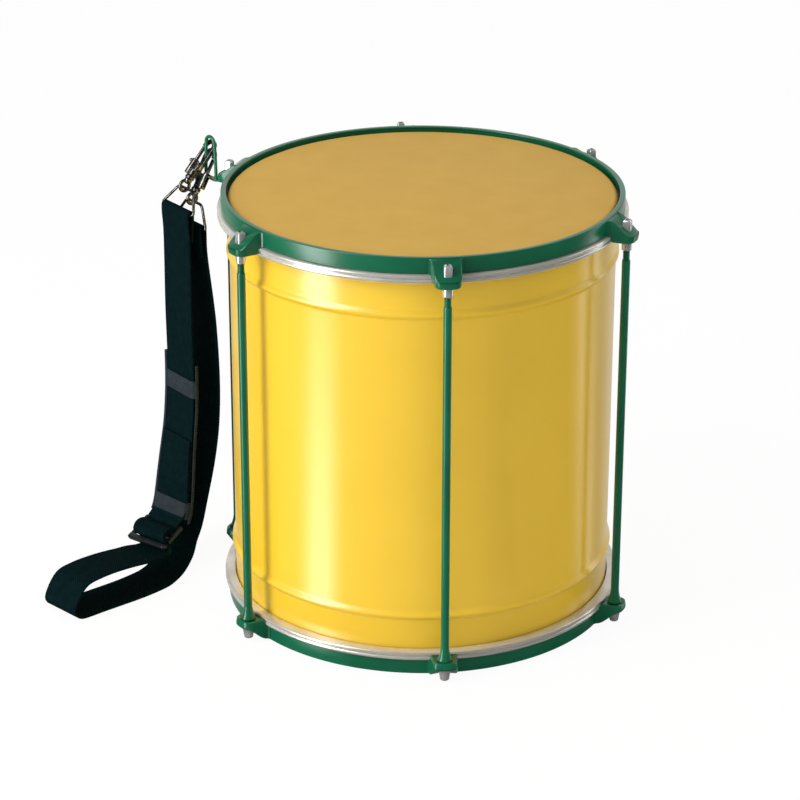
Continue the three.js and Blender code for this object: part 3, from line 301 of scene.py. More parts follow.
def arc(x, y, radius, start, end, steps=8):
    """Points of a circular arc, its angles in degrees."""
    turns = [math.radians(start + (end - start) * step / steps) for step in range(steps + 1)]
    return [(x + radius * math.cos(turn), y + radius * math.sin(turn)) for turn in turns]


def softened(outline, radius, steps=3, closed=True):
    """The outline with its corners rounded off."""
    points = []
    for at, corner in enumerate(outline):
        if not closed and at in (0, len(outline) - 1):
            points.append(corner)
            continue
        here = Vector(corner)
        to_last = Vector(outline[at - 1]) - here
        to_next = Vector(outline[(at + 1) % len(outline)]) - here
        start = here + to_last.normalized() * min(radius, to_last.length * 0.45)
        end = here + to_next.normalized() * min(radius, to_next.length * 0.45)
        for step in range(steps + 1):
            t = step / steps
            points.append(tuple(start * (1 - t) ** 2 + here * 2 * t * (1 - t) + end * t ** 2))
    return points


def turned(outline, steps=SMALL_STEPS, closed=True):
    """The outline turned round Z; an open one starts and ends on the axis."""
    bm = bmesh.new()
    corners = [bm.verts.new((radius, 0, height)) for radius, height in outline]
    loop = corners + corners[:1] if closed else corners
    edges = [bm.edges.new(pair) for pair in zip(loop, loop[1:])]
    bmesh.ops.spin(
        bm, geom=corners + edges, cent=(0, 0, 0), axis=(0, 0, 1), angle=FULL_TURN, steps=steps, use_merge=True
    )
    return cleaned(bm)


def turned_solid(outline, rounding):
    """A solid turned round Z from an outline that starts and ends on the axis, its corners rounded."""
    return turned(softened(outline, rounding, closed=False), closed=False)


def cleaned(bm):
    bmesh.ops.remove_doubles(bm, verts=bm.verts[:], dist=WELD)
    bmesh.ops.recalc_face_normals(bm, faces=bm.faces[:])
    return bm


def moved(bm, matrix):
    bmesh.ops.transform(bm, matrix=matrix, verts=bm.verts[:])
    return bm


def shift(x=0, y=0, z=0):
    return Matrix.Translation((x, y, z))


def turn_z(angle):
    return Matrix.Rotation(angle, 4, "Z")


def gathered(parts):
    """Several meshes as one."""
    whole = bmesh.new()
    for part in parts:
        mesh = mesh_of("part", part)
        whole.from_mesh(mesh)
        bpy.data.meshes.remove(mesh)
    return whole


def prism(outline, low, high):
    """The outline in X and Y raised from one height to another."""
    bm = bmesh.new()
    face = bm.faces.new([bm.verts.new((x, y, low)) for x, y in outline])
    raised = bmesh.ops.extrude_face_region(bm, geom=[face])
    top = [item for item in raised["geom"] if isinstance(item, bmesh.types.BMVert)]
    bmesh.ops.translate(bm, vec=(0, 0, high - low), verts=top)
    return cleaned(bm)


def rectangle(low, high, half):
    """Corners of a rectangle from one x to another, half its width on each side of the x axis."""
    return [(low, -half), (high, -half), (high, half), (low, half)]


def bridged(loops):
    """A closed body through loops of points that are alike in number, the last joined to the first."""
    bm = bmesh.new()
    rings = []
    for points in loops:
        corners = [bm.verts.new(point) for point in points]
        rings.append([bm.edges.new(pair) for pair in zip(corners, corners[1:] + corners[:1])])
    for ring, following in zip(rings, rings[1:] + rings[:1]):
        bmesh.ops.bridge_loops(bm, edges=ring + following)
    return cleaned(bm)


def edges_bevelled(bm, width, segments=2, angle=40):
    """Every edge sharper than the angle rounded over."""
    limit = math.radians(angle)
    sharp = [edge for edge in bm.edges if len(edge.link_faces) == 2 and edge.calc_face_angle(0) > limit]
    bmesh.ops.bevel(
        bm, geom=sharp, offset=width, segments=segments, profile=0.5, affect="EDGES", material=-1,
        clamp_overlap=True,
    )
    return bm


def eased(value, low, high):
    """Smooth step from 0 at the low value to 1 at the high one."""
    share = min(max((value - low) / (high - low), 0), 1)
    return share * share * (3 - 2 * share)


def boxed(size, at):
    bm = bmesh.new()
    bmesh.ops.create_cube(bm, size=1, matrix=Matrix.Translation(at) @ Matrix.Diagonal((*size, 1)))
    return bm


def rod_between(radius, low, high):
    """Upright round bar between two heights."""
    return turned([(0, low), (radius, low), (radius, high), (0, high)], BORE_STEPS, closed=False)


def combined(bm, others, operation):
    """The mesh joined with others, or cut by them, as one closed body."""
    base, tool = (placed("solid", mesh_of("solid", part)) for part in (bm, gathered(others)))
    boolean = base.modifiers.new("join", "BOOLEAN")
    boolean.operation = operation
    boolean.solver = "EXACT"
    boolean.use_self = True
    boolean.object = tool
    graph = bpy.context.evaluated_depsgraph_get()
    result = bmesh.new()
    result.from_object(base, graph)
    for piece in (base, tool):
        mesh = piece.data
        bpy.data.objects.remove(piece)
        bpy.data.meshes.remove(mesh)
    bmesh.ops.remove_doubles(result, verts=result.verts[:], dist=WELD)
    return result


def joined(bm, *others):
    return combined(bm, others, "UNION")


def cut(bm, *others):
    return combined(bm, others, "DIFFERENCE")


def tube(points, radius, closed=False):
    """Round wire through points, as a mesh."""
    data = bpy.data.curves.new("wire", "CURVE")
    data.dimensions = "3D"
    data.bevel_depth = radius
    data.bevel_resolution = WIRE_ROUNDNESS
    data.use_fill_caps = not closed
    spline = data.splines.new("POLY")
    spline.points.add(len(points) - 1)
    for point, place in zip(spline.points, points):
        point.co = (*place, 1)
    spline.use_cyclic_u = closed
    wire = placed("wire", data)
    mesh = bpy.data.meshes.new_from_object(wire)
    bm = bmesh.new()
    bm.from_mesh(mesh)
    bpy.data.objects.remove(wire)
    bpy.data.curves.remove(data)
    bpy.data.meshes.remove(mesh)
    return cleaned(bm)


def finished(name, bm, slot, body, replaces=(), sharp=SHARP, subdivide=0):
    """A piece of the drum: metres, smooth shading, its finish, and the body that it rides on."""
    bmesh.ops.scale(bm, vec=(MM, MM, MM), verts=bm.verts[:])
    mesh = mesh_of(name, bm)
    mesh.shade_smooth()
    mesh.set_sharp_from_angle(angle=sharp)
    mesh.materials.append(MATERIALS[slot])
    piece = placed(name, mesh)
    if subdivide:
        smooth = piece.modifiers.new("smooth", "SUBSURF")
        smooth.levels = subdivide
        smooth.render_levels = subdivide
    if replaces:
        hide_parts(*replaces)
    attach(piece, body)
    return piece


# Drum sizes


GAP = 0.3
SHELL_RADIUS = 152
SHELL_WALL = 1.2
CURL_RADIUS = 3
CURL_LIP = 2
BEAD_WIDTH = 9.6
BEAD_RISE = 2.5
BEAD_FROM_RIM = 47.4
BEAD_STEPS = 14
FILM = 0.3
HEAD_DROP = 3.2
FLESH_WIDTH = 8.1
FLESH_HEIGHT = 6.5
FLESH_BEAD = 1.45
FILM_TURN_OUT = 1.4
FILM_TURN_HEIGHT = 3.1
HOOP_WALL = 2.5
HOOP_OVER_COLLAR = 2.9
RIM_LIP_WIDTH = 1.8
RIM_LIP_HEIGHT = 1.5
RIM_ROUND = 1.2

head_top = drum_height - HEAD_DROP
shell_top = head_top - FILM - GAP
flesh_top = hoop_bottom - GAP
flesh_bottom = flesh_top - FLESH_HEIGHT
flesh_inner = SHELL_RADIUS + GAP + FILM + GAP
flesh_outer = flesh_inner + FLESH_WIDTH
hoop_inner = SHELL_RADIUS + GAP + FILM + HOOP_OVER_COLLAR
hoop_radius = hoop_inner + HOOP_WALL
lug_turn = lug_angle[1] + math.pi / 2

over_and_round = turn_z(lug_turn) @ shift(z=drum_height) @ Matrix.Rotation(math.pi, 4, "X")


def shell_line(inset):
    line = []
    for step in range(BEAD_STEPS + 1):
        share = step / BEAD_STEPS
        rise = BEAD_RISE * math.sin(math.pi * share) ** 2
        line.append((SHELL_RADIUS - inset + rise, drum_height - BEAD_FROM_RIM + BEAD_WIDTH * (share - 0.5)))
    curl_x = SHELL_RADIUS - CURL_RADIUS
    line += arc(curl_x, shell_top - CURL_RADIUS, CURL_RADIUS - inset, 0, 90)
    return [*line, (curl_x - CURL_LIP, shell_top - inset)]


def make_shell():
    """Sheet-metal cylinder: a swaged bead near each end, both edges curled inward."""
    outer, inner = shell_line(0), shell_line(SHELL_WALL)
    lower_outer, lower_inner = (
        [(radius, drum_height - height) for radius, height in line] for line in (outer, inner)
    )
    bm = turned([*lower_outer[::-1], *outer, *inner[::-1], *lower_inner], RING_STEPS)
    finished("shell_sheet", bm, "shell_enamel", "drum", ["shell"])


def make_head(name, node, place):
    """Film drawn over the shell's curled edge, its collar turned out into the flesh hoop."""
    turn_bottom = flesh_bottom + FILM_TURN_HEIGHT
    turn_edge = flesh_inner + FILM_TURN_OUT - GAP
    edge_x = SHELL_RADIUS - CURL_RADIUS
    edge_z = shell_top - CURL_RADIUS
    under = CURL_RADIUS + GAP
    outline = [
        (0, head_top - FILM),
        *arc(edge_x, edge_z, under, 90, 0),
        (SHELL_RADIUS + GAP, turn_bottom),
        (turn_edge, turn_bottom),
        (turn_edge, turn_bottom + FILM),
        (SHELL_RADIUS + GAP + FILM, turn_bottom + FILM),
        *arc(edge_x, edge_z, under + FILM, 0, 90),
        (0, head_top),
    ]
    finished(name, moved(turned(outline, RING_STEPS, closed=False), place), "head_film", "drum", [node])


def make_flesh_hoop(name, node, place):
    """Rolled aluminium ring: two round beads outside, with a groove between them."""
    bead_x = flesh_outer - FLESH_BEAD
    slot_bottom = flesh_bottom + FILM_TURN_HEIGHT - GAP
    slot_top = slot_bottom + GAP + FILM + GAP
    outline = [
        (flesh_inner, flesh_bottom),
        *arc(bead_x, flesh_bottom + FLESH_BEAD, FLESH_BEAD, -90, 75),
        *arc(bead_x, flesh_top - FLESH_BEAD, FLESH_BEAD, -75, 90),
        (flesh_inner, flesh_top),
        (flesh_inner, slot_top),
        (flesh_inner + FILM_TURN_OUT, slot_top),
        (flesh_inner + FILM_TURN_OUT, slot_bottom),
        (flesh_inner, slot_bottom),
    ]
    finished(name, moved(turned(outline, RING_STEPS), place), "hoop_aluminium", "drum", [node])


# Drawn ears of the counter hoops


EAR_REACH = 20
EAR_ROOT_HALF = 11.2
EAR_ROOT_FILLET = 1.8
EAR_FRONT_HALF = 10.3
EAR_WALL = 2.2
EAR_FLOOR = 3
EAR_FLOOR_DROP = 1.9
EAR_LIP_RISE = 1.8
EAR_BOWL_ROUND = 3
EAR_BEHIND = 0.5
EAR_HIGH_SHARE = 0.04
EAR_NOSE_SHARE = 0.66
EAR_SKIRT = 0.9
EAR_SIDE_STEPS = 12
# Above 1, the stations along the sides stand closer towards the hoop
EAR_SIDE_CROWDING = 1.6
EAR_FRONT_STEPS = 24
EAR_BACK_STEPS = 8
BOLT_HOLE = 7
HOLE_CHAMFER = 1.2

ear_lip = hoop_radius + EAR_REACH
ear_front = ear_lip - EAR_FRONT_HALF
ear_floor_top = hoop_bottom - EAR_FLOOR_DROP
ear_floor_bottom = ear_floor_top - EAR_FLOOR
ear_back = flesh_outer + EAR_BEHIND
ear_root = hoop_radius - HOOP_WALL / 2
rim_top = drum_height - RIM_ROUND / 2
lip_top = ear_floor_top + EAR_LIP_RISE


def crest_height(x):
    """Height of the wall's edge: high along the sides, then down to the low lip in front."""
    reach = (x - hoop_radius) / EAR_REACH
    return rim_top + (lip_top - rim_top) * eased(reach, EAR_HIGH_SHARE, 1)


def ear_half(x, inset, flared):
    """Half width of the ear in plan, with a fillet where its wall leaves the hoop."""
    share = min(max((x - hoop_radius) / (ear_front - hoop_radius), 0), 1)
    half = EAR_ROOT_HALF + (EAR_FRONT_HALF - EAR_ROOT_HALF) * share - inset
    from_band = min(max(x - hoop_radius, 0), EAR_ROOT_FILLET)
    flare = EAR_ROOT_FILLET - math.sqrt(EAR_ROOT_FILLET ** 2 - (EAR_ROOT_FILLET - from_band) ** 2)
    return half + flare * flared


def ear_nose(inset):
    """Front of the ear in plan, squarer than a half circle."""
    half = EAR_FRONT_HALF - inset
    points = []
    for step in range(1, EAR_FRONT_STEPS):
        turn = math.pi / 2 - math.pi * step / EAR_FRONT_STEPS
        across = math.copysign(abs(math.sin(turn)) ** EAR_NOSE_SHARE, turn)
        points.append((ear_front + half * math.cos(turn) ** EAR_NOSE_SHARE, half * across))
    return points


def ear_loop(inset, back, flared):
    """Closed plan outline of the ear, its stations alike for every inset."""
    side = []
    for step in range(1, EAR_SIDE_STEPS + 1):
        x = back + (ear_front - back) * (step / EAR_SIDE_STEPS) ** EAR_SIDE_CROWDING
        side.append((x, ear_half(x, inset, flared)))
    corner = ear_half(back, inset, flared)
    rear = [(back, corner * (2 * step / EAR_BACK_STEPS - 1)) for step in range(EAR_BACK_STEPS + 1)]
    return [*rear, *side, *ear_nose(inset), *[(x, -y) for x, y in side[::-1]]]


def make_ear():
    """Rounded tray: bolt hole, floor, swept wall and web, made of loops that rise and return."""
    hollow_back = ear_back + EAR_WALL
    crest_back = hoop_radius + EAR_WALL * 0.3
    low_back = hollow_back + (crest_back - hollow_back) * 0.2
    high_back = hollow_back + (crest_back - hollow_back) * 0.8
    bowl_top = ear_floor_bottom + EAR_BOWL_ROUND
    round_hole = []
    for x, y in ear_loop(EAR_WALL, hollow_back, 0):
        heading = Vector((x - lug_radius, y)).normalized()
        round_hole.append((lug_radius + heading.x * BOLT_HOLE / 2, heading.y * BOLT_HOLE / 2))
    wider = [(lug_radius + (x - lug_radius) * HOLE_CHAMFER, y * HOLE_CHAMFER) for x, y in round_hole]

    def flat(plan, height):
        return [(x, y, height) for x, y in plan]

    def inner_rise(share):
        return lambda x: ear_floor_top + (crest_height(x) - ear_floor_top) * share

    # Each loop of the wall: how far inside the ear's outline, its back, its flare, and its height
    wall = [
        (EAR_WALL + 1.6, hollow_back + 1.6, 0, lambda x: ear_floor_top),
        (EAR_WALL + 0.5, hollow_back + 0.4, 0, inner_rise(0.12)),
        (EAR_WALL, low_back, 0, inner_rise(0.35)),
        (EAR_WALL, high_back, 0.3, inner_rise(0.85)),
        (EAR_WALL - 0.4, crest_back, 0.6, inner_rise(0.97)),
        (EAR_WALL / 2, ear_root + 0.4, 1, crest_height),
        (0.4, ear_root, 1, lambda x: crest_height(x) - 0.15),
        (0, ear_root, 1, lambda x: crest_height(x) - 0.7),
        (0, ear_root, 1, lambda x: max(hoop_bottom + 0.2, ear_floor_bottom + EAR_BOWL_ROUND * 1.1)),
        (0, ear_back, 1, lambda x: min(hoop_bottom - 0.1, bowl_top)),
        (0.5, ear_back + 0.1, 1, lambda x: ear_floor_bottom - EAR_SKIRT * 0.2),
        (1.6, ear_back + 0.4, 1, lambda x: ear_floor_bottom - EAR_SKIRT),
        (2.8, ear_back + 0.9, 1, lambda x: ear_floor_bottom - EAR_SKIRT * 0.4),
        (3.6, ear_back + 1.4, 1, lambda x: ear_floor_bottom),
    ]
    return bridged([
        flat(round_hole, ear_floor_top - 0.3),
        flat(wider, ear_floor_top),
        *[[(x, y, rise(x)) for x, y in ear_loop(inset, back, flared)] for inset, back, flared, rise in wall],
        flat(wider, ear_floor_bottom),
        flat(round_hole, ear_floor_bottom + 0.3),
    ])


def make_hoop(name, node, place):
    """Pressed counter hoop: a band with an inward rim, and six drawn ears rooted in its wall."""
    outline = softened([
        (hoop_inner, hoop_bottom),
        (hoop_radius, hoop_bottom),
        (hoop_radius, drum_height),
        (hoop_inner - RIM_LIP_WIDTH, drum_height),
        (hoop_inner - RIM_LIP_WIDTH, drum_height - RIM_LIP_HEIGHT),
        (hoop_inner, drum_height - RIM_LIP_HEIGHT),
    ], 0.9, 4)
    ear = make_ear()
    ears = [moved(ear.copy(), turn_z(lug * math.radians(60) - math.pi / 2)) for lug in range(6)]
    ear.free()
    hoop = gathered([turned(outline, RING_STEPS), *ears])
    finished(name, moved(hoop, place), "hoop_enamel", "drum", [node])


# Rods and their hardware


THREAD_RADIUS = 2.7
THREAD_PITCH = 1
THREAD_DEPTH = 0.5
BOLT_SQUARE = 6.35
BOLT_SQUARE_HEIGHT = 10.2
BOLT_SQUARE_DOME = 2.3
BOLT_SQUARE_ROUND = 1.5
BOLT_FLANGE_RADIUS = 4.7
BOLT_FLANGE_HEIGHT = 1.4
WASHER_RADIUS = 5.5
WASHER_HEIGHT = 1.2
FERRULE_RADIUS = 3.95
FERRULE_HEIGHT = 8
ROD_RADIUS = 3.25
ROD_NECK_HEIGHT = 8
ROD_SHOULDER = 0.8
ROD_EDGE_ROUND = 0.8
CONE_RADIUS = 5.8
CONE_EDGE = 1.4
CONE_HEIGHT = 11.3
# The cone's waist: shares of its height, and how far it still stands out there
CONE_FLARE = [(0.38, 1.2), (0.7, 0.4), (1, 0)]
NUT_RADIUS = 5.2
NUT_FLANGE_HEIGHT = 2.6
NUT_TIP_RADIUS = 3.5
NUT_EDGE_ROUND = 1.3
NUT_TIP_FROM_FLOOR = 1.1
NUT_BLIND_END = 5.6
ROD_END_OVER_TIP = 4.8
PLATE_THICKNESS = 1.6

ferrule_top = ear_floor_bottom - GAP
thread_meet = ferrule_top - FERRULE_HEIGHT / 2
neck_bottom = ferrule_top - FERRULE_HEIGHT - ROD_NECK_HEIGHT
lower_plate_top = drum_height - ear_floor_bottom
lower_plate_bottom = drum_height - ear_floor_top
washer_top = ear_floor_top + GAP + WASHER_HEIGHT


def threads(low, high):
    """Outline of a threaded stretch, from its lower to its upper end."""
    count = int((high - low) / THREAD_PITCH)
    points = []
    for turn in range(count):
        start = low + turn * THREAD_PITCH
        points += [(THREAD_RADIUS - THREAD_DEPTH, start), (THREAD_RADIUS, start + THREAD_PITCH / 2)]
    return [*points, (THREAD_RADIUS - THREAD_DEPTH, low + count * THREAD_PITCH)]


def make_key_bolt(drop):
    """Tension bolt with a square head for the drum key, a flange, and a thread that ends in the ferrule."""
    flange_low = washer_top + GAP
    flange_high = flange_low + BOLT_FLANGE_HEIGHT
    square_top = flange_high + BOLT_SQUARE_HEIGHT
    half = BOLT_SQUARE / 2
    shank = turned([
        (0, thread_meet - drop),
        *threads(thread_meet - drop, flange_low - 1),
        (THREAD_RADIUS, flange_low),
        *softened([
            (THREAD_RADIUS, flange_low),
            (BOLT_FLANGE_RADIUS, flange_low),
            (BOLT_FLANGE_RADIUS, flange_high),
            (half, flange_high),
        ], 0.5, closed=False)[1:],
        (0, flange_high),
    ], closed=False)
    corners = softened(rectangle(-half, half, half), BOLT_SQUARE_ROUND, 4)
    square = prism(corners, flange_high - 0.5, square_top)
    top = [edge for edge in square.edges if min(vert.co.z for vert in edge.verts) > square_top - 0.1]
    bmesh.ops.bevel(
        square, geom=top, offset=BOLT_SQUARE_DOME, segments=5, profile=0.5, affect="EDGES", material=-1
    )
    return joined(shank, square)


def make_sleeve(radius, low, high, rounding):
    """Plain ring round the thread."""
    bore = THREAD_RADIUS + GAP
    return turned(softened([(bore, low), (radius, low), (radius, high), (bore, high)], rounding))


def make_rod(drop):
    """Rod with a flared foot; both threaded ends show beyond the enamelled shank."""
    foot = lower_plate_top + GAP
    low = NUT_TIP_FROM_FLOOR + ROD_END_OVER_TIP
    body = softened([
        (THREAD_RADIUS, foot),
        (CONE_RADIUS, foot),
        (CONE_RADIUS, foot + CONE_EDGE),
        *[(ROD_RADIUS + beyond, foot + CONE_HEIGHT * share) for share, beyond in CONE_FLARE],
        (ROD_RADIUS, neck_bottom - ROD_SHOULDER),
        (THREAD_RADIUS, neck_bottom),
    ], ROD_EDGE_ROUND, 4, closed=False)
    top = thread_meet - drop - GAP
    return turned([(0, low), *threads(low, foot), *body, *threads(neck_bottom, top), (0, top)], closed=False)


def make_bottom_nut():
    """Tapered cap nut under the lower ear, threaded from above and closed below."""
    top = lower_plate_bottom - GAP
    return turned([
        (0, NUT_TIP_FROM_FLOOR),
        *softened([
            (0.2, NUT_TIP_FROM_FLOOR),
            (NUT_TIP_RADIUS, NUT_TIP_FROM_FLOOR),
            (NUT_TIP_RADIUS + 0.3, NUT_TIP_FROM_FLOOR + 2),
            (NUT_RADIUS, top - NUT_FLANGE_HEIGHT),
            (NUT_RADIUS, top),
            (THREAD_RADIUS + GAP, top),
            (THREAD_RADIUS + GAP, NUT_BLIND_END),
        ], NUT_EDGE_ROUND, 4, closed=False),
        (0, NUT_BLIND_END),
    ], closed=False)


def make_stations():
    """Bolt, washer, ferrule, rod and nut at each lug; under the bracket's plate bolt and rod meet lower."""
    for lug in LUGS:
        drop = PLATE_THICKNESS + GAP if lug == bracket_lug else 0
        place = turn_z(lug_angle[lug]) @ shift(x=lug_radius)
        washer = make_sleeve(WASHER_RADIUS, ear_floor_top + GAP, washer_top, 0.3)
        ferrule = make_sleeve(FERRULE_RADIUS, ferrule_top - drop - FERRULE_HEIGHT, ferrule_top - drop, 0.6)
        for name, bm, slot, body in (
            ("key_bolt", make_key_bolt(drop), "plated_steel", f"key_bolt_{lug}"),
            ("washer", washer, "plated_steel", "drum"),
            ("ferrule", ferrule, "plated_steel", "drum"),
            ("tension_rod", make_rod(drop), "hoop_enamel", "drum"),
            ("bottom_nut", make_bottom_nut(), "plated_steel", "drum"),
        ):
            finished(f"{name}_{lug}_fine", moved(bm, place), slot, body, [f"{name}_{lug}"])


# Sling bracket and sling, in the sling's own frame: X out from the bracket's loop, Y across the webbing


LOOP_FROM_LUG = 17
LOOP_WIRE_RADIUS = 1.4
LOOP_HALF = 6
LOOP_FOOT_HALF = 7.2
PLATE_LUG_RADIUS = 7
PLATE_NECK_RADIUS = 4
PLATE_NECK_AT = 13
LOOP_FOOT_RADIUS = 2.3
LOOP_TOP = 362
PLATE_HOLE_RADIUS = 3.5
WELD_RADIUS = 2.1
WELD_RISE = 1.1

SNAP_BAR = 3.2
SNAP_THICKNESS = 3.2
SNAP_THROAT_HALF = 4
SNAP_BOW_CENTRE = 2
SNAP_FLOOR = 14
SNAP_SHOULDER = 13
SNAP_BASE_END = 20
SNAP_BASE_HALF = 2.5
SNAP_NOSE_END = 1.5
SNAP_NECK_RADIUS = 3.2
SNAP_NECK_END = 28
SNAP_COLLAR_RADIUS = 3.9
SNAP_COLLAR_HEIGHT = 2.4
SNAP_TAPER_END = 3.1
SNAP_EDGE_ROUND = 1.1
SNAP_THROAT_ROUND = 2
BARREL_RADIUS = 3.1
BARREL_TOP = 11
BARREL_END = 24.4
BARREL_END_WALL = 1.2
PLUNGER_RADIUS = 1.5
PLUNGER_END = 14.6
PLUNGER_TRAVEL = 8
STUD_AT = 13
STUD_RADIUS = 0.9
STUD_HEAD_RADIUS = 1.5
STUD_REACH = 3
SWIVEL_PIN_RADIUS = 1.3
SWIVEL_COLLAR_RADIUS = 3.3
SWIVEL_COLLAR_HEIGHT = 2
SWIVEL_TAPER_END = 4.2
SWIVEL_TAPER_RADIUS = 1.5
SWIVEL_HEAD_RADIUS = 2
SWIVEL_HEAD_HEIGHT = 1.2
EYE_AT = 34.5
EYE_RADIUS = 4.4
EYE_WIRE_RADIUS = 1.4
RING_WIRE_RADIUS = 1.2
RING_LENGTH = 18
RING_TOP_HALF = 10.5
RING_FOOT_HALF = 22.6
RING_CORNER = 3.4
RING_LEAN = {"a": math.radians(29.82), "b": math.radians(15.28)}
BOLT_SIDE = {"a": -1, "b": 1}

WEB_WIDTH = 38
WEB_THICKNESS = 1.8
STRIP_STEP = 2.2
PAD_TOP = 177
PAD_BOTTOM = 37
PAD_HALF = 23.1
PAD_ASIDE = -2.3
PAD_DEPTH = 8
PAD_EDGE = 3.6
PAD_SEAM_AT = 110
SLIDER_AT = Vector((65, 29.5))
SLIDER_TILT = math.radians(29)
SLIDER_ROLL = math.radians(4.5)
# Distances out between which the slider's roll grows and fades, and heights between which it begins
ROLL_GROWS = (45, 59)
ROLL_FADES = (75, 105)
ROLL_BEGINS = (10, 20)
SLIDER_SPACING = 10.6
SLIDER_BAR_RADIUS = 1.6
# The webbing's routes, out and up in the sling's plane
FRONT_RUN = [(34.6, 285), (35, 220), (35, 146), (40, 92), (43.7, 55), (46, 43.5), (49, 37)]
DOUBLED_RUN = [
    (55.2, 38.6), (52, 40.4), (49, 44.6), (46.9, 50.5), (45.7, 57), (44, 75), (42.2, 92), (40.4, 110),
]
FLOOR_RUN = [
    (81, 21.2), (97, 25), (118, 28.5), (137, 30.5), (155, 31),
    (170, 29), (179, 20.6), (184, 9.3), (178.8, 2.9),
]
FLAT_RUN = [(166, 0.9), (132.7, 0.9), (99.3, 0.9), (66, 0.9)]
BACK_RUN = [(57.1, 2.3), (44, 8.5), (33, 24), (24.8, 48), (16, 84), (10, 137), (11.5, 205), (18.75, 272)]
DRIFT = 18.5
DRIFT_FROM = 69.9
DRIFT_TO = 119.6
# Heights between which the loop leaves the floor, and those between which its bow fades
LYING_FADE = (2, 45)
BOW_FADE = (4, 16)
LYING_SOONER = 25
LYING_BOW = 5
LYING_BOW_AT = 105
LYING_BOW_HALF = 62
TWIST = math.radians(8)
TWIST_OUT = 55
TWIST_FULL_BELOW = 45
TWIST_NONE_ABOVE = 120

loop_radius = lug_radius + LOOP_FROM_LUG
bracket_angle = lug_angle[bracket_lug]
sling_foot = shift(loop_radius * math.cos(bracket_angle), loop_radius * math.sin(bracket_angle))
sling_place = sling_foot @ turn_z(SLING_TURN)
plate_top = ear_floor_bottom - GAP
plate_bottom = plate_top - PLATE_THICKNESS
barrel_x = SNAP_THROAT_HALF + SNAP_BAR / 2
joints = {joint["name"]: joint for joint in frame["record"]["behaviour"]["joints"]}


def axes_at(origin, x_axis, y_axis):
    """Matrix that puts a piece drawn at the origin in its place."""
    z_axis = x_axis.cross(y_axis)
    turn = Matrix((x_axis, y_axis, z_axis)).transposed().to_4x4()
    return Matrix.Translation(origin) @ turn


def smooth_route(points, steps=24):
    """Points close together on a centripetal curve through the given ones."""
    through = [Vector(point) for point in points]
    ends = [through[0] * 2 - through[1], *through, through[-1] * 2 - through[-2]]
    fine = []
    for before, start, end, after in zip(ends, ends[1:], ends[2:], ends[3:]):
        chords = ((before, start), (start, end), (end, after))
        near, span, far = (math.sqrt((b - a).length) for a, b in chords)
        lead = ((start - before) / near - (end - before) / (near + span) + (end - start) / span) * span
        trail = ((end - start) / span - (after - start) / (span + far) + (after - end) / far) * span
        for step in range(steps):
            t = step / steps
            fine.append(
                start * (2 * t ** 3 - 3 * t ** 2 + 1) + lead * (t ** 3 - 2 * t ** 2 + t)
                + end * (3 * t ** 2 - 2 * t ** 3) + trail * (t ** 3 - t ** 2)
            )
    return [*fine, through[-1]]


class SlingLine:
    """A line in the sling's plane, measured along its length."""

    def __init__(self, points):
        self.points = smooth_route(points)
        self.marks = [0]
        for start, end in zip(self.points, self.points[1:]):
            self.marks.append(self.marks[-1] + (end - start).length)
        self.length = self.marks[-1]

    def at(self, distance):
        """Place and direction at a distance along the line."""
        step = min(max(bisect.bisect(self.marks, distance) - 1, 0), len(self.points) - 2)
        start, end = self.points[step:step + 2]
        share = (distance - self.marks[step]) / (self.marks[step + 1] - self.marks[step])
        before = self.points[max(step - 1, 0)]
        after = self.points[min(step + 2, len(self.points) - 1)]
        direction = (end - before).normalized().lerp((after - start).normalized(), min(max(share, 0), 1))
        return start.lerp(end, share), direction.normalized()

    def offset(self, distance, across, depth):
        """Place in the sling's frame; depth is towards the drum on the front run."""
        place, direction = self.at(distance)
        return Vector((place.x + direction.y * depth, across, place.y - direction.x * depth))

    def reaching(self, height):
        """Distance along a falling line at which it passes a height."""
        for mark, point in zip(self.marks, self.points):
            if mark > TAIL_LENGTH * 2 and point.y <= height:
                return mark
        return self.length


def strip(line, start, end, half_width, low, high, across_steps=10):
    """A flat strip that follows the line, with its weave laid out along it."""
    steps = max(2, round((end - start) / STRIP_STEP))
    bm = bmesh.new()
    weave = bm.loops.layers.uv.new("weave")
    bmesh.ops.create_grid(bm, x_segments=across_steps, y_segments=steps, size=1)
    for face in bm.faces:
        for loop in face.loops:
            x, y, _ = loop.vert.co
            loop[weave].uv = (x * half_width * MM, (start + (y + 1) / 2 * (end - start)) * MM)
    for vert in bm.verts:
        x, y, _ = vert.co
        vert.co = line.offset(start + (y + 1) / 2 * (end - start), x * half_width, low)
    bmesh.ops.recalc_face_normals(bm, faces=bm.faces[:])
    sample = bm.faces[:][0]
    middle = start + (end - start) * 0.5 / steps
    outward = line.offset(middle, 0, high) - line.offset(middle, 0, low)
    if sample.normal.dot(outward) > 0:
        bmesh.ops.reverse_faces(bm, faces=bm.faces[:])
    bmesh.ops.solidify(bm, geom=bm.faces[:], thickness=abs(high - low))
    bmesh.ops.recalc_face_normals(bm, faces=bm.faces[:])
    return edges_bevelled(bm, min(0.5, abs(high - low) * 0.3), 2, 60)


def drifted(bm):
    """The loop leans sideways towards its far end; on the floor it sets out sooner and bows further out."""
    for vert in bm.verts:
        lying = 1 - eased(vert.co.z, *LYING_FADE)
        sooner = LYING_SOONER * lying
        vert.co.y += DRIFT * eased(vert.co.x, DRIFT_FROM - 2 * sooner, DRIFT_TO - sooner)
        from_bow = min(abs(vert.co.x - LYING_BOW_AT) / LYING_BOW_HALF, 1)
        vert.co.y += LYING_BOW * (1 - eased(vert.co.z, *BOW_FADE)) * (1 - from_bow ** 2) ** 2
        vert.co.z = max(vert.co.z, 0)
    return bm


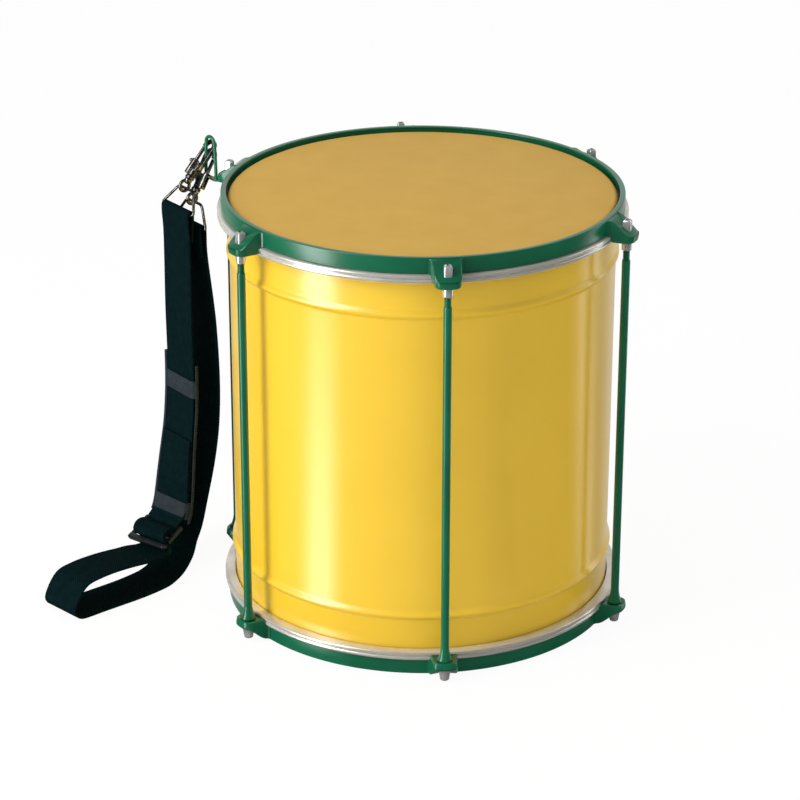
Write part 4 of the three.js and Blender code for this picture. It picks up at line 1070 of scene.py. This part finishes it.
def twist_at(height):
    """Turn of the sling's lower part at a height."""
    turn = TWIST * (1 - eased(height, TWIST_FULL_BELOW, TWIST_NONE_ABOVE))
    return shift(x=TWIST_OUT) @ turn_z(turn) @ shift(x=-TWIST_OUT)


def rolled(place):
    """Sideways lean of the sling round the slider, which leaves the floor and the pad level."""
    grown = math.tan(SLIDER_ROLL) * eased(place.x, *ROLL_GROWS)
    lean = grown * (1 - eased(place.x, *ROLL_FADES)) * eased(place.z, *ROLL_BEGINS)
    return place - Vector((0, 0, lean * (WEB_WIDTH / 2 - place.y)))


def hung(bm):
    """A soft piece in its place, each point turned with the sling by its own height."""
    for vert in bm.verts:
        vert.co = twist_at(vert.co.z) @ rolled(vert.co)
    return moved(bm, sling_place)


def make_bracket():
    """Plate under the ear and a standing wire loop, welded and enamelled together."""
    outline = [
        *arc(0, 0, PLATE_LUG_RADIUS, 90, 270, 24),
        *arc(PLATE_NECK_AT, 0, PLATE_NECK_RADIUS, -90, 90, 12),
    ]
    bar = [
        *arc(0, LOOP_FOOT_HALF, LOOP_FOOT_RADIUS, 0, 180, 10),
        *arc(0, -LOOP_FOOT_HALF, LOOP_FOOT_RADIUS, 180, 360, 10),
    ]
    plate, foot = (edges_bevelled(prism(line, plate_bottom, plate_top), 0.35) for line in (outline, bar))
    legs = [
        (-LOOP_FOOT_HALF, plate_bottom + 0.5), (-LOOP_FOOT_HALF, plate_top + 1),
        *arc(0, LOOP_TOP - LOOP_WIRE_RADIUS - LOOP_HALF, LOOP_HALF, 180, 0, 8),
        (LOOP_FOOT_HALF, plate_top + 1), (LOOP_FOOT_HALF, plate_bottom + 0.5),
    ]
    wire = tube([(0, y, z) for y, z in smooth_route(legs, 8)], LOOP_WIRE_RADIUS)
    weld_line = [
        (0, plate_top - 0.4), (WELD_RADIUS, plate_top - 0.4),
        (LOOP_WIRE_RADIUS, plate_top + WELD_RISE), (0, plate_top + WELD_RISE),
    ]
    welds = [moved(turned_solid(weld_line, 0.5), shift(y=side * LOOP_FOOT_HALF)) for side in (-1, 1)]
    to_loop = shift(x=LOOP_FROM_LUG) @ turn_z(SLING_TURN - bracket_angle)
    hole = rod_between(PLATE_HOLE_RADIUS, plate_bottom - 1, plate_top + 1)
    bracket = joined(cut(plate, hole), *[moved(part, to_loop) for part in (foot, wire, *welds)])
    place = turn_z(bracket_angle) @ shift(x=lug_radius)
    finished("bracket_fine", moved(bracket, place), "hoop_enamel", "drum", ["sling_bracket"])


def along_hook(bm):
    """A piece drawn upright laid along a snap hook's axis, which is Y."""
    return moved(bm, Matrix.Rotation(-math.pi / 2, 4, "X"))


def make_snap_hook():
    """Cast swivel snap: rounded bow and nose, bolt barrel on one side, bored neck below."""
    outside = SNAP_THROAT_HALF + SNAP_BAR
    inner = SNAP_THROAT_ROUND
    outline = [
        (-SNAP_NECK_RADIUS, -SNAP_BASE_END),
        (-outside + 0.9, -SNAP_BASE_END + 1.6),
        (-outside, -SNAP_SHOULDER),
        *arc(0, SNAP_BOW_CENTRE, outside, 180, 0, 24),
        (outside, SNAP_NOSE_END),
        (SNAP_THROAT_HALF, SNAP_NOSE_END),
        *arc(0, SNAP_BOW_CENTRE, SNAP_THROAT_HALF, 0, 180, 16),
        *arc(inner - SNAP_THROAT_HALF, inner - SNAP_FLOOR, inner, 180, 270, 5),
        (barrel_x, -SNAP_FLOOR),
        (barrel_x, -SNAP_BASE_END),
    ]
    bow = prism(outline, -SNAP_THICKNESS / 2, SNAP_THICKNESS / 2)
    bow = edges_bevelled(bow, SNAP_EDGE_ROUND, 3, 50)
    base = prism([
        (-SNAP_NECK_RADIUS, -SNAP_BASE_END - 0.6),
        (barrel_x, -SNAP_BASE_END - 0.6),
        (barrel_x, -SNAP_FLOOR),
        (-SNAP_THROAT_HALF, -SNAP_FLOOR),
    ], -SNAP_BASE_HALF, SNAP_BASE_HALF)
    neck = turned_solid([
        (0, -SNAP_NECK_END),
        (SNAP_COLLAR_RADIUS, -SNAP_NECK_END),
        (SNAP_COLLAR_RADIUS, -SNAP_NECK_END + SNAP_COLLAR_HEIGHT),
        (SNAP_NECK_RADIUS, -SNAP_NECK_END + SNAP_TAPER_END),
        (SNAP_NECK_RADIUS, -SNAP_BASE_END + 0.6),
        (0, -SNAP_BASE_END + 0.6),
    ], 0.5)
    barrel = turned_solid([
        (0, -BARREL_END),
        (BARREL_RADIUS, -BARREL_END),
        (BARREL_RADIUS, -BARREL_TOP),
        (0, -BARREL_TOP),
    ], 0.7)
    bore = rod_between(PLUNGER_RADIUS + GAP, -BARREL_END + BARREL_END_WALL, -BARREL_TOP + 1)
    slot_from = -STUD_AT - PLUNGER_TRAVEL - STUD_RADIUS - GAP
    slot = boxed(
        (BARREL_RADIUS + 1, 1 - BARREL_TOP - slot_from, 2 * (STUD_RADIUS + GAP)),
        (barrel_x + (BARREL_RADIUS + 1) / 2, (1 - BARREL_TOP + slot_from) / 2, 0),
    )
    pin_bore = rod_between(SWIVEL_PIN_RADIUS + GAP, -SNAP_NECK_END - 1, 1 - SNAP_FLOOR)
    barrel, bore = (moved(along_hook(part), shift(barrel_x)) for part in (barrel, bore))
    hook = joined(bow, edges_bevelled(base, 0.8, 3, 50), along_hook(neck), barrel)
    return cut(hook, along_hook(pin_bore), bore, slot)


def make_snap_bolt():
    """Sliding bolt with a headed thumb stud."""
    plunger = turned_solid([
        (0, -PLUNGER_END),
        (PLUNGER_RADIUS, -PLUNGER_END),
        (PLUNGER_RADIUS, SNAP_NOSE_END - GAP),
        (0, SNAP_NOSE_END - GAP),
    ], 0.4)
    reach = BARREL_RADIUS + STUD_REACH
    stud = turned_solid([
        (0, 0), (STUD_RADIUS, 0), (STUD_RADIUS, reach - 1.6),
        (STUD_HEAD_RADIUS, reach - 1.3), (STUD_HEAD_RADIUS, reach), (0, reach),
    ], 0.3)
    side = shift(barrel_x, -STUD_AT) @ Matrix.Rotation(math.pi / 2, 4, "Y")
    return joined(moved(along_hook(plunger), shift(barrel_x)), moved(stud, side))


def make_swivel():
    """Headed pin, collar and forged eye."""
    collar_top = -SNAP_NECK_END - GAP
    pin = turned_solid([
        (0, collar_top - SWIVEL_TAPER_END),
        (SWIVEL_TAPER_RADIUS, collar_top - SWIVEL_TAPER_END),
        (SWIVEL_COLLAR_RADIUS, collar_top - SWIVEL_COLLAR_HEIGHT),
        (SWIVEL_COLLAR_RADIUS, collar_top),
        (SWIVEL_PIN_RADIUS, collar_top),
        (SWIVEL_PIN_RADIUS, GAP - SNAP_FLOOR),
        (SWIVEL_HEAD_RADIUS, GAP - SNAP_FLOOR),
        (SWIVEL_HEAD_RADIUS, GAP + SWIVEL_HEAD_HEIGHT - SNAP_FLOOR),
        (0, GAP + SWIVEL_HEAD_HEIGHT - SNAP_FLOOR),
    ], 0.4)
    eye_line = arc(0, 0, EYE_RADIUS, 0, 360, 40)[:-1]
    eye = tube([(0, y - EYE_AT, z) for y, z in eye_line], EYE_WIRE_RADIUS, closed=True)
    return joined(along_hook(pin), eye)


def make_ring():
    """Trapezoid ring of round wire, its narrow side at Y 0 and its wide side below."""
    corners = softened([
        (RING_TOP_HALF, 0), (RING_FOOT_HALF, -RING_LENGTH),
        (-RING_FOOT_HALF, -RING_LENGTH), (-RING_TOP_HALF, 0),
    ], RING_CORNER, 8)
    return tube([(x, y, 0) for x, y in corners], RING_WIRE_RADIUS, closed=True)


def make_snap_sets():
    """Both snaps on the loop's leg with their rings; gives the middle of each ring's wide side."""
    feet = {}
    to_sling = sling_place.inverted()
    across = (sling_place.to_3x3() @ Vector((0, 1, 0))).normalized()
    eye_floor = EYE_AT + EYE_RADIUS - EYE_WIRE_RADIUS - GAP - RING_WIRE_RADIUS
    for letter in ("a", "b"):
        joint = joints[f"snap_turn_{letter}"]
        origin = in_mm(joint["pos_m"])
        up = Vector(joint["axis"]).normalized()
        ring_top = to_sling @ (origin - up * eye_floor)
        ring_top.y = 0
        ring_up = Vector((-math.sin(RING_LEAN[letter]), 0, math.cos(RING_LEAN[letter])))
        place = axes_at(origin, across * BOLT_SIDE[letter], up)
        ring_place = sling_place @ axes_at(ring_top, Vector((0, 1, 0)), ring_up)
        for name, bm, at, body, node in (
            ("snap_cast", make_snap_hook(), place, f"snap_{letter}", "snap_hook"),
            ("snap_slide", make_snap_bolt(), place, f"slide_{letter}", "snap_bolt"),
            ("swivel_eye", make_swivel(), place, "sling", "snap_swivel"),
            ("wire_ring", make_ring(), ring_place, "sling", "sling_ring"),
        ):
            finished(f"{name}_{letter}", moved(bm, at), "nickel_plate", body, [f"{node}_{letter}"])
        foot = ring_top - ring_up * RING_LENGTH
        feet[letter] = (foot.x, foot.z)
    return feet


TAIL_LENGTH = 24
FOLD_RADIUS = RING_WIRE_RADIUS + GAP + WEB_THICKNESS / 2
BAR_FOLD_RADIUS = SLIDER_BAR_RADIUS + GAP + WEB_THICKNESS / 2


def on_slider(along, above):
    """Point of the slider: along it, down and out, and above its plane."""
    turn = Matrix.Rotation(-SLIDER_TILT, 2)
    return tuple(SLIDER_AT + turn @ Vector((along, above)))


# Along the slider and above it: the webbing's hump over the middle bar, and its sewn end inside the hump
HUMP = [(-7.4, 2.2), (-4.8, 6.2), (-0.6, 8.4), (4, 9.3), (8.2, 8.8), (9.9, 6.6), (8.4, 3.6)]
TUCK = [(-5.6, 0.6), (-4.6, 3.2), (-1.8, 5), (1.6, 5.8), (5, 6), (7.1, 5.4), (7, 4)]
TUCK_HALF = 1.5


def ring_fold(foot, side):
    """Sewn tail and fold round the ring's wide side; the tail hangs on the drum's side where side is 1."""
    x, y = foot
    tail_x = x - side * FOLD_RADIUS
    return [
        (tail_x + side * 1.5, y - TAIL_LENGTH),
        (tail_x + side * 0.4, y - TAIL_LENGTH / 2),
        (tail_x, y - 4),
        *arc(x, y, FOLD_RADIUS, 90 + side * 90, 90 - side * 90),
        (x + side * FOLD_RADIUS + side * 0.1, y - 6),
    ]


def front_line(foot):
    """Front run: sewn tail, round the ring, down to the slider's upper bar, and sewn back up."""
    upper = on_slider(-SLIDER_SPACING, 0)
    fold = arc(*upper, BAR_FOLD_RADIUS, 200, 400, 10)
    return SlingLine([*ring_fold(foot, 1), *FRONT_RUN, *fold, *DOUBLED_RUN])


def main_line(foot):
    """Main run: over the slider's middle bar, round the floor loop and up to the second ring."""
    return SlingLine([
        on_slider(-8.2, -4.2),
        on_slider(-7.6, -0.6),
        *[on_slider(*point) for point in HUMP],
        on_slider(7.4, -0.8),
        on_slider(11.5, -3.9),
        *FLOOR_RUN,
        *FLAT_RUN,
        *BACK_RUN,
        *ring_fold(foot, -1)[::-1],
    ])


def make_webbing(feet):
    """Both runs of webbing, and the sewn end inside the hump; gives the front run's line."""
    half = WEB_THICKNESS / 2
    front = front_line(feet["a"])
    main = main_line(feet["b"])
    for name, line, node, settled in (
        ("front_strap", front, "front_webbing", hung),
        ("main_strap", main, "main_webbing", lambda bm: hung(drifted(bm))),
    ):
        bm = settled(strip(line, 0, line.length, WEB_WIDTH / 2, -half, half))
        piece = finished(name, bm, "webbing", "sling", [node], sharp=math.radians(60))
    tuck = SlingLine([on_slider(*point) for point in TUCK])
    bm = hung(strip(tuck, 0, tuck.length, WEB_WIDTH / 2 - 0.3, -TUCK_HALF, TUCK_HALF))
    piece = finished("strap_sewn_end", bm, "webbing", "sling", sharp=math.radians(60))
    return front


BAND_AT = {"pad_band_top": 156.2, "pad_band_bottom": 46.6}
BAND_HEIGHT = 15
BAND_WALL = 0.9
BAND_SHOULDER = 1.8
BAND_EDGE_IN = 0.6
BAND_PULL_SHARE = 0.88
SEAM_HALF = 3.2
NEAR_BINDING_HALF = 0.6
FAR_BINDING_HALF = 1.5
SEAM_SHARE = 0.36
SWELL_VOXEL = 1.3
SWELL_LIMIT = 1.6
SWELL_STEPS = 20
SWELL_PRESSURE = 4
PAD_COLUMNS = 18
PAD_ROWS = 56
PAD_END_LENGTH = 10
PAD_END_THINNER = 0.45
PAD_BEFORE_SWELLING = SWELL_LIMIT * 0.6

web_face = WEB_THICKNESS / 2 + GAP


def pad_crown(across):
    """Depth of the padding at a share of its half width."""
    return PAD_EDGE + (PAD_DEPTH - PAD_EDGE) * (1 - min(abs(across), 1) ** 2.6)


def swollen(bm):
    """Padding blown up by a short cloth simulation, with the way of each point limited."""
    scene = bpy.context.scene
    mesh = mesh_of("padding", moved(bm, Matrix.Scale(MM, 4)))
    piece = placed("padding", mesh)
    remesh = piece.modifiers.new("even", "REMESH")
    remesh.mode = "VOXEL"
    remesh.voxel_size = SWELL_VOXEL * MM
    even = bpy.data.meshes.new_from_object(piece.evaluated_get(bpy.context.evaluated_depsgraph_get()))
    piece.modifiers.clear()
    piece.data = even
    cloth_settings = piece.modifiers.new("cloth", "CLOTH").settings
    cloth_settings.use_pressure = True
    cloth_settings.uniform_pressure_force = SWELL_PRESSURE
    cloth_settings.effector_weights.gravity = 0
    for step in range(1, SWELL_STEPS + 1):
        scene.frame_set(step)
    blown = piece.evaluated_get(bpy.context.evaluated_depsgraph_get()).data
    result = bmesh.new()
    result.from_mesh(even)
    for vert, goal in zip(result.verts, [vert.co.copy() for vert in blown.vertices]):
        way = goal - vert.co
        vert.co += way.normalized() * min(way.length, SWELL_LIMIT * MM)
    scene.frame_set(1)
    bpy.data.objects.remove(piece)
    for spare in (mesh, even):
        bpy.data.meshes.remove(spare)
    return moved(result, Matrix.Scale(1 / MM, 4))


def make_pad(front):
    """Shoulder pad behind the webbing: made flat, blown up, cinched, then laid along the front run."""
    start, end = front.reaching(PAD_TOP), front.reaching(PAD_BOTTOM)
    length = end - start
    bm = bmesh.new()
    bmesh.ops.create_grid(bm, x_segments=PAD_COLUMNS, y_segments=PAD_ROWS, size=1)
    raised = bmesh.ops.extrude_face_region(bm, geom=bm.faces[:])
    top = {item for item in raised["geom"] if isinstance(item, bmesh.types.BMVert)}
    for vert in bm.verts:
        across, along, _ = vert.co
        from_end = (1 - abs(along)) * length / 2 / PAD_END_LENGTH
        thinner = 1 - PAD_END_THINNER * max(0, 1 - from_end) ** 2
        depth = (pad_crown(across) - PAD_BEFORE_SWELLING) * thinner if vert in top else 0
        vert.co = (across * (PAD_HALF - PAD_BEFORE_SWELLING), (along + 1) / 2 * length, depth)
    bmesh.ops.recalc_face_normals(bm, faces=bm.faces[:])
    bm = swollen(edges_bevelled(bm, 0.8, 2, 50))
    widest = max(vert.co.x for vert in bm.verts)
    low, high = (pick(vert.co.y for vert in bm.verts) for pick in (min, max))
    for vert in bm.verts:
        vert.co.x *= PAD_HALF / widest
        vert.co.y = (vert.co.y - low) * length / (high - low)
    seam = front.reaching(PAD_SEAM_AT) - start
    bands = [front.reaching(height) - start for height in BAND_AT.values()]
    weave = bm.loops.layers.uv.new("weave")
    for face in bm.faces:
        for loop in face.loops:
            loop[weave].uv = (loop.vert.co.x * MM, loop.vert.co.y * MM)
    for vert in bm.verts:
        across, along, depth = vert.co
        depth = max(depth, 0) * (1 - SEAM_SHARE * math.exp(-((along - seam) / SEAM_HALF) ** 2))
        free = min(eased(abs(along - band), BAND_HEIGHT / 2, BAND_HEIGHT) for band in bands)
        limit = pad_crown(across / PAD_HALF) * (BAND_PULL_SHARE + (1.1 - BAND_PULL_SHARE) * free)
        vert.co = front.offset(start + along, across + PAD_ASIDE, web_face + min(depth, limit))
    pad = finished(
        "pad_cushion", hung(bm), "pad_fabric", "sling", ["shoulder_pad"], sharp=math.radians(70), subdivide=1
    )
    make_binding(front, start, end)
    for name, height in BAND_AT.items():
        make_band(name, front, height)


def make_binding(front, start, end):
    """Flat tape sewn along the pad's long edges, over the ends of the bands."""
    tapes = []
    for side, half in ((-1, FAR_BINDING_HALF), (1, NEAR_BINDING_HALF)):
        tape = strip(front, start, end, half, web_face - 0.5, web_face + 2, 4)
        for vert in tape.verts:
            vert.co.y += PAD_ASIDE + side * (PAD_HALF - half + 0.3)
        tapes.append(tape)
    finished("pad_binding", hung(gathered(tapes)), "elastic", "sling", sharp=math.radians(60))


def make_band(name, front, height):
    """Elastic band drawn over the webbing, its ends sewn down along the pad's edges."""
    distance = front.reaching(height)
    clear = web_face + (WEB_THICKNESS + 2 * GAP if height < DOUBLED_RUN[-1][1] else 0)
    low = PAD_ASIDE - PAD_HALF + 2 * FAR_BINDING_HALF
    high = PAD_ASIDE + PAD_HALF - NEAR_BINDING_HALF
    edge = WEB_WIDTH / 2 - BAND_EDGE_IN
    outer = softened([
        (web_face - 0.4, low),
        (-clear - BAND_WALL, -edge), (-clear - BAND_WALL, edge),
        (web_face - 0.4, high),
    ], BAND_SHOULDER, 4, closed=False)
    inner = softened([
        (web_face - 0.2, low + 0.6),
        (-clear, 1.2 - WEB_WIDTH / 2), (-clear, WEB_WIDTH / 2 - 1.2),
        (web_face - 0.2, high - 0.8),
    ], 1.2, 4, closed=False)
    bm = edges_bevelled(prism([*outer, *inner[::-1]], -BAND_HEIGHT / 2, BAND_HEIGHT / 2), 0.2, 2, 60)
    for vert in bm.verts:
        depth, across, along = vert.co
        vert.co = front.offset(distance + along, across, depth)
    bmesh.ops.recalc_face_normals(bm, faces=bm.faces[:])
    piece = finished(f"{name}_sleeve", hung(bm), "elastic", "sling", [name], sharp=math.radians(50))
    across = sum((Vector(b) - Vector(a)).length for a, b in zip(outer, outer[1:]))


SLIDER_RAIL = 3.3
SLIDER_SIDE_PLAY = 0.5
SLIDER_FRONT_BAR = 4.8
SLIDER_FRONT_RISE = 3
SLIDER_FRONT_SET_BACK = 1.4
SLIDER_CORNER = 2.2
SLIDER_WINDOW_CORNER = 0.8
# How far the raised bar stands inside the rails' outer edges, and how far its own edges round over
SLIDER_BAR_INSET = 0.6
SLIDER_BAR_ROUND = 1.1


def make_slider():
    """Moulded slider: two rails, slim upper and middle bars, and a broad raised bar in front."""
    inside = WEB_WIDTH / 2 + SLIDER_SIDE_PLAY
    half_width = inside + SLIDER_RAIL
    reach = SLIDER_SPACING + SLIDER_BAR_RADIUS
    front_from = SLIDER_SPACING - SLIDER_FRONT_SET_BACK
    front_to = front_from + SLIDER_FRONT_BAR
    outline = softened(rectangle(-reach, front_to, half_width), SLIDER_CORNER, 4)
    plate = prism(outline, -SLIDER_BAR_RADIUS, SLIDER_BAR_RADIUS)
    windows = [
        prism(softened(rectangle(low, high, inside), SLIDER_WINDOW_CORNER), -3, 3)
        for low, high in (
            (SLIDER_BAR_RADIUS - SLIDER_SPACING, -SLIDER_BAR_RADIUS), (SLIDER_BAR_RADIUS, front_from),
        )
    ]
    rails = edges_bevelled(cut(plate, *windows), 0.5, 2, 50)
    bar_line = rectangle(front_from, front_to + 0.2, half_width - SLIDER_BAR_INSET)
    bar = prism(bar_line, -SLIDER_BAR_RADIUS + 0.5, SLIDER_FRONT_RISE)
    bar = edges_bevelled(bar, SLIDER_BAR_ROUND, 4, 50)
    place = sling_place @ twist_at(SLIDER_AT.y) @ shift(SLIDER_AT.x, WEB_WIDTH / 2, SLIDER_AT.y)
    place = place @ Matrix.Rotation(SLIDER_ROLL, 4, "X") @ shift(y=-WEB_WIDTH / 2)
    slider = moved(joined(rails, bar), place @ Matrix.Rotation(SLIDER_TILT, 4, "Y"))
    finished("slider_frame", slider, "moulded_plastic", "sling", ["slider_buckle"])


# Studio: pale floor, white surround and soft lamps, in metres


FLOOR_HALF = 12
# Below the drum by this many millimetres, so that the floor and the drum's base never lie in one plane
FLOOR_BELOW = 0.6
# Share of plain white in what the camera sees of the floor
FLOOR_WHITE = 0.94
# Strengths of the surround: what gloss shows of the room in front, and what lights the drum
DIM_ROOM = 0.035
ROOM_LIGHT = 0.77
LAMPS_FACE = Vector((0, 0, 0.17))


def area_light(name, place, size, watts):
    """Soft white lamp that faces the middle of the drum."""
    data = bpy.data.lights.new(name, "AREA")
    data.shape = "RECTANGLE"
    data.size, data.size_y = size
    data.energy = watts
    light = placed(name, data)
    light.location = place
    light.rotation_euler = (LAMPS_FACE - Vector(place)).to_track_quat("-Z", "Y").to_euler()


def make_floor():
    """White paper sweep: nearly white to the camera, with the drum's soft shadow left on it."""
    bm = bmesh.new()
    bmesh.ops.create_grid(bm, x_segments=1, y_segments=1, size=FLOOR_HALF)
    floor = placed("studio_floor", mesh_of("studio_floor", bm))
    floor.location.z = -FLOOR_BELOW * MM
    floor.visible_glossy = False
    material, tree, shader, _ = new_material("white_paper_sweep")
    set_inputs(shader, Base_Color=colour("#F4F4F4"), Roughness=0.9)
    paper = shader.outputs[0]
    white = add_node(tree, "Emission", Color=colour("#FFFFFF"), Strength=1.0)
    camera_ray = add_node(tree, "LightPath", output="Is Camera Ray")
    pale = add_node(tree, "MixShader", _0=FLOOR_WHITE, _1=paper, _2=white)
    seen = add_node(tree, "MixShader", _0=camera_ray, _1=paper, _2=pale)
    set_inputs(tree.nodes["Material Output"], Surface=seen)
    floor.data.materials.append(material)


def make_surround():
    """White backdrop behind and beside the drum; gloss and metal show that the room in front is dim."""
    world = bpy.data.worlds.new("studio_white")
    world.use_nodes = True
    tree = world.node_tree
    way = add_node(tree, "TexCoord", output="Generated")
    heading = add_node(tree, "SeparateXYZ", output="Y", Vector=way)
    backdrop = add_node(tree, "MapRange", Value=heading, From_Min=0.5, From_Max=1.1, To_Min=DIM_ROOM)
    camera_ray = add_node(tree, "LightPath", output="Is Camera Ray")
    glossy_ray = add_node(tree, "LightPath", output="Is Glossy Ray")
    through_ray = add_node(tree, "LightPath", output="Is Transmission Ray")
    mirrored = add_node(tree, "Math", {"operation": "MAXIMUM"}, _0=glossy_ray, _1=through_ray)
    level = add_node(tree, "MapRange", Value=mirrored, To_Min=ROOM_LIGHT, To_Max=backdrop)
    seen = add_node(tree, "MapRange", Value=camera_ray, To_Min=level)
    set_inputs(tree.nodes["Background"], Color=colour("#FFFFFF"), Strength=seen)
    bpy.context.scene.world = world


add_camera()
make_shell()
for side, place in (("batter", Matrix.Identity(4)), ("resonant", over_and_round)):
    make_head(f"{side}_film", f"{side}_head", place)
    make_flesh_hoop(f"{side}_flesh_ring", f"{side}_flesh_hoop", place)
make_hoop("batter_counter_hoop", "batter_hoop", turn_z(lug_turn))
make_hoop("resonant_counter_hoop", "resonant_hoop", over_and_round)
make_stations()
make_bracket()
ring_feet = make_snap_sets()
front_run = make_webbing(ring_feet)
make_pad(front_run)
make_slider()
make_floor()
make_surround()
# A tall soft lamp on the left gives the shell's bright stripe, a weaker one behind its right edge
area_light("key_strip", place=(-1.38, -0.81, 0.64), size=(0.6, 2.8), watts=42)
area_light("rear_strip", place=(1.48, 0.6, 0.5), size=(0.45, 2.4), watts=6)

bpy.context.scene.view_settings.view_transform = "Standard"
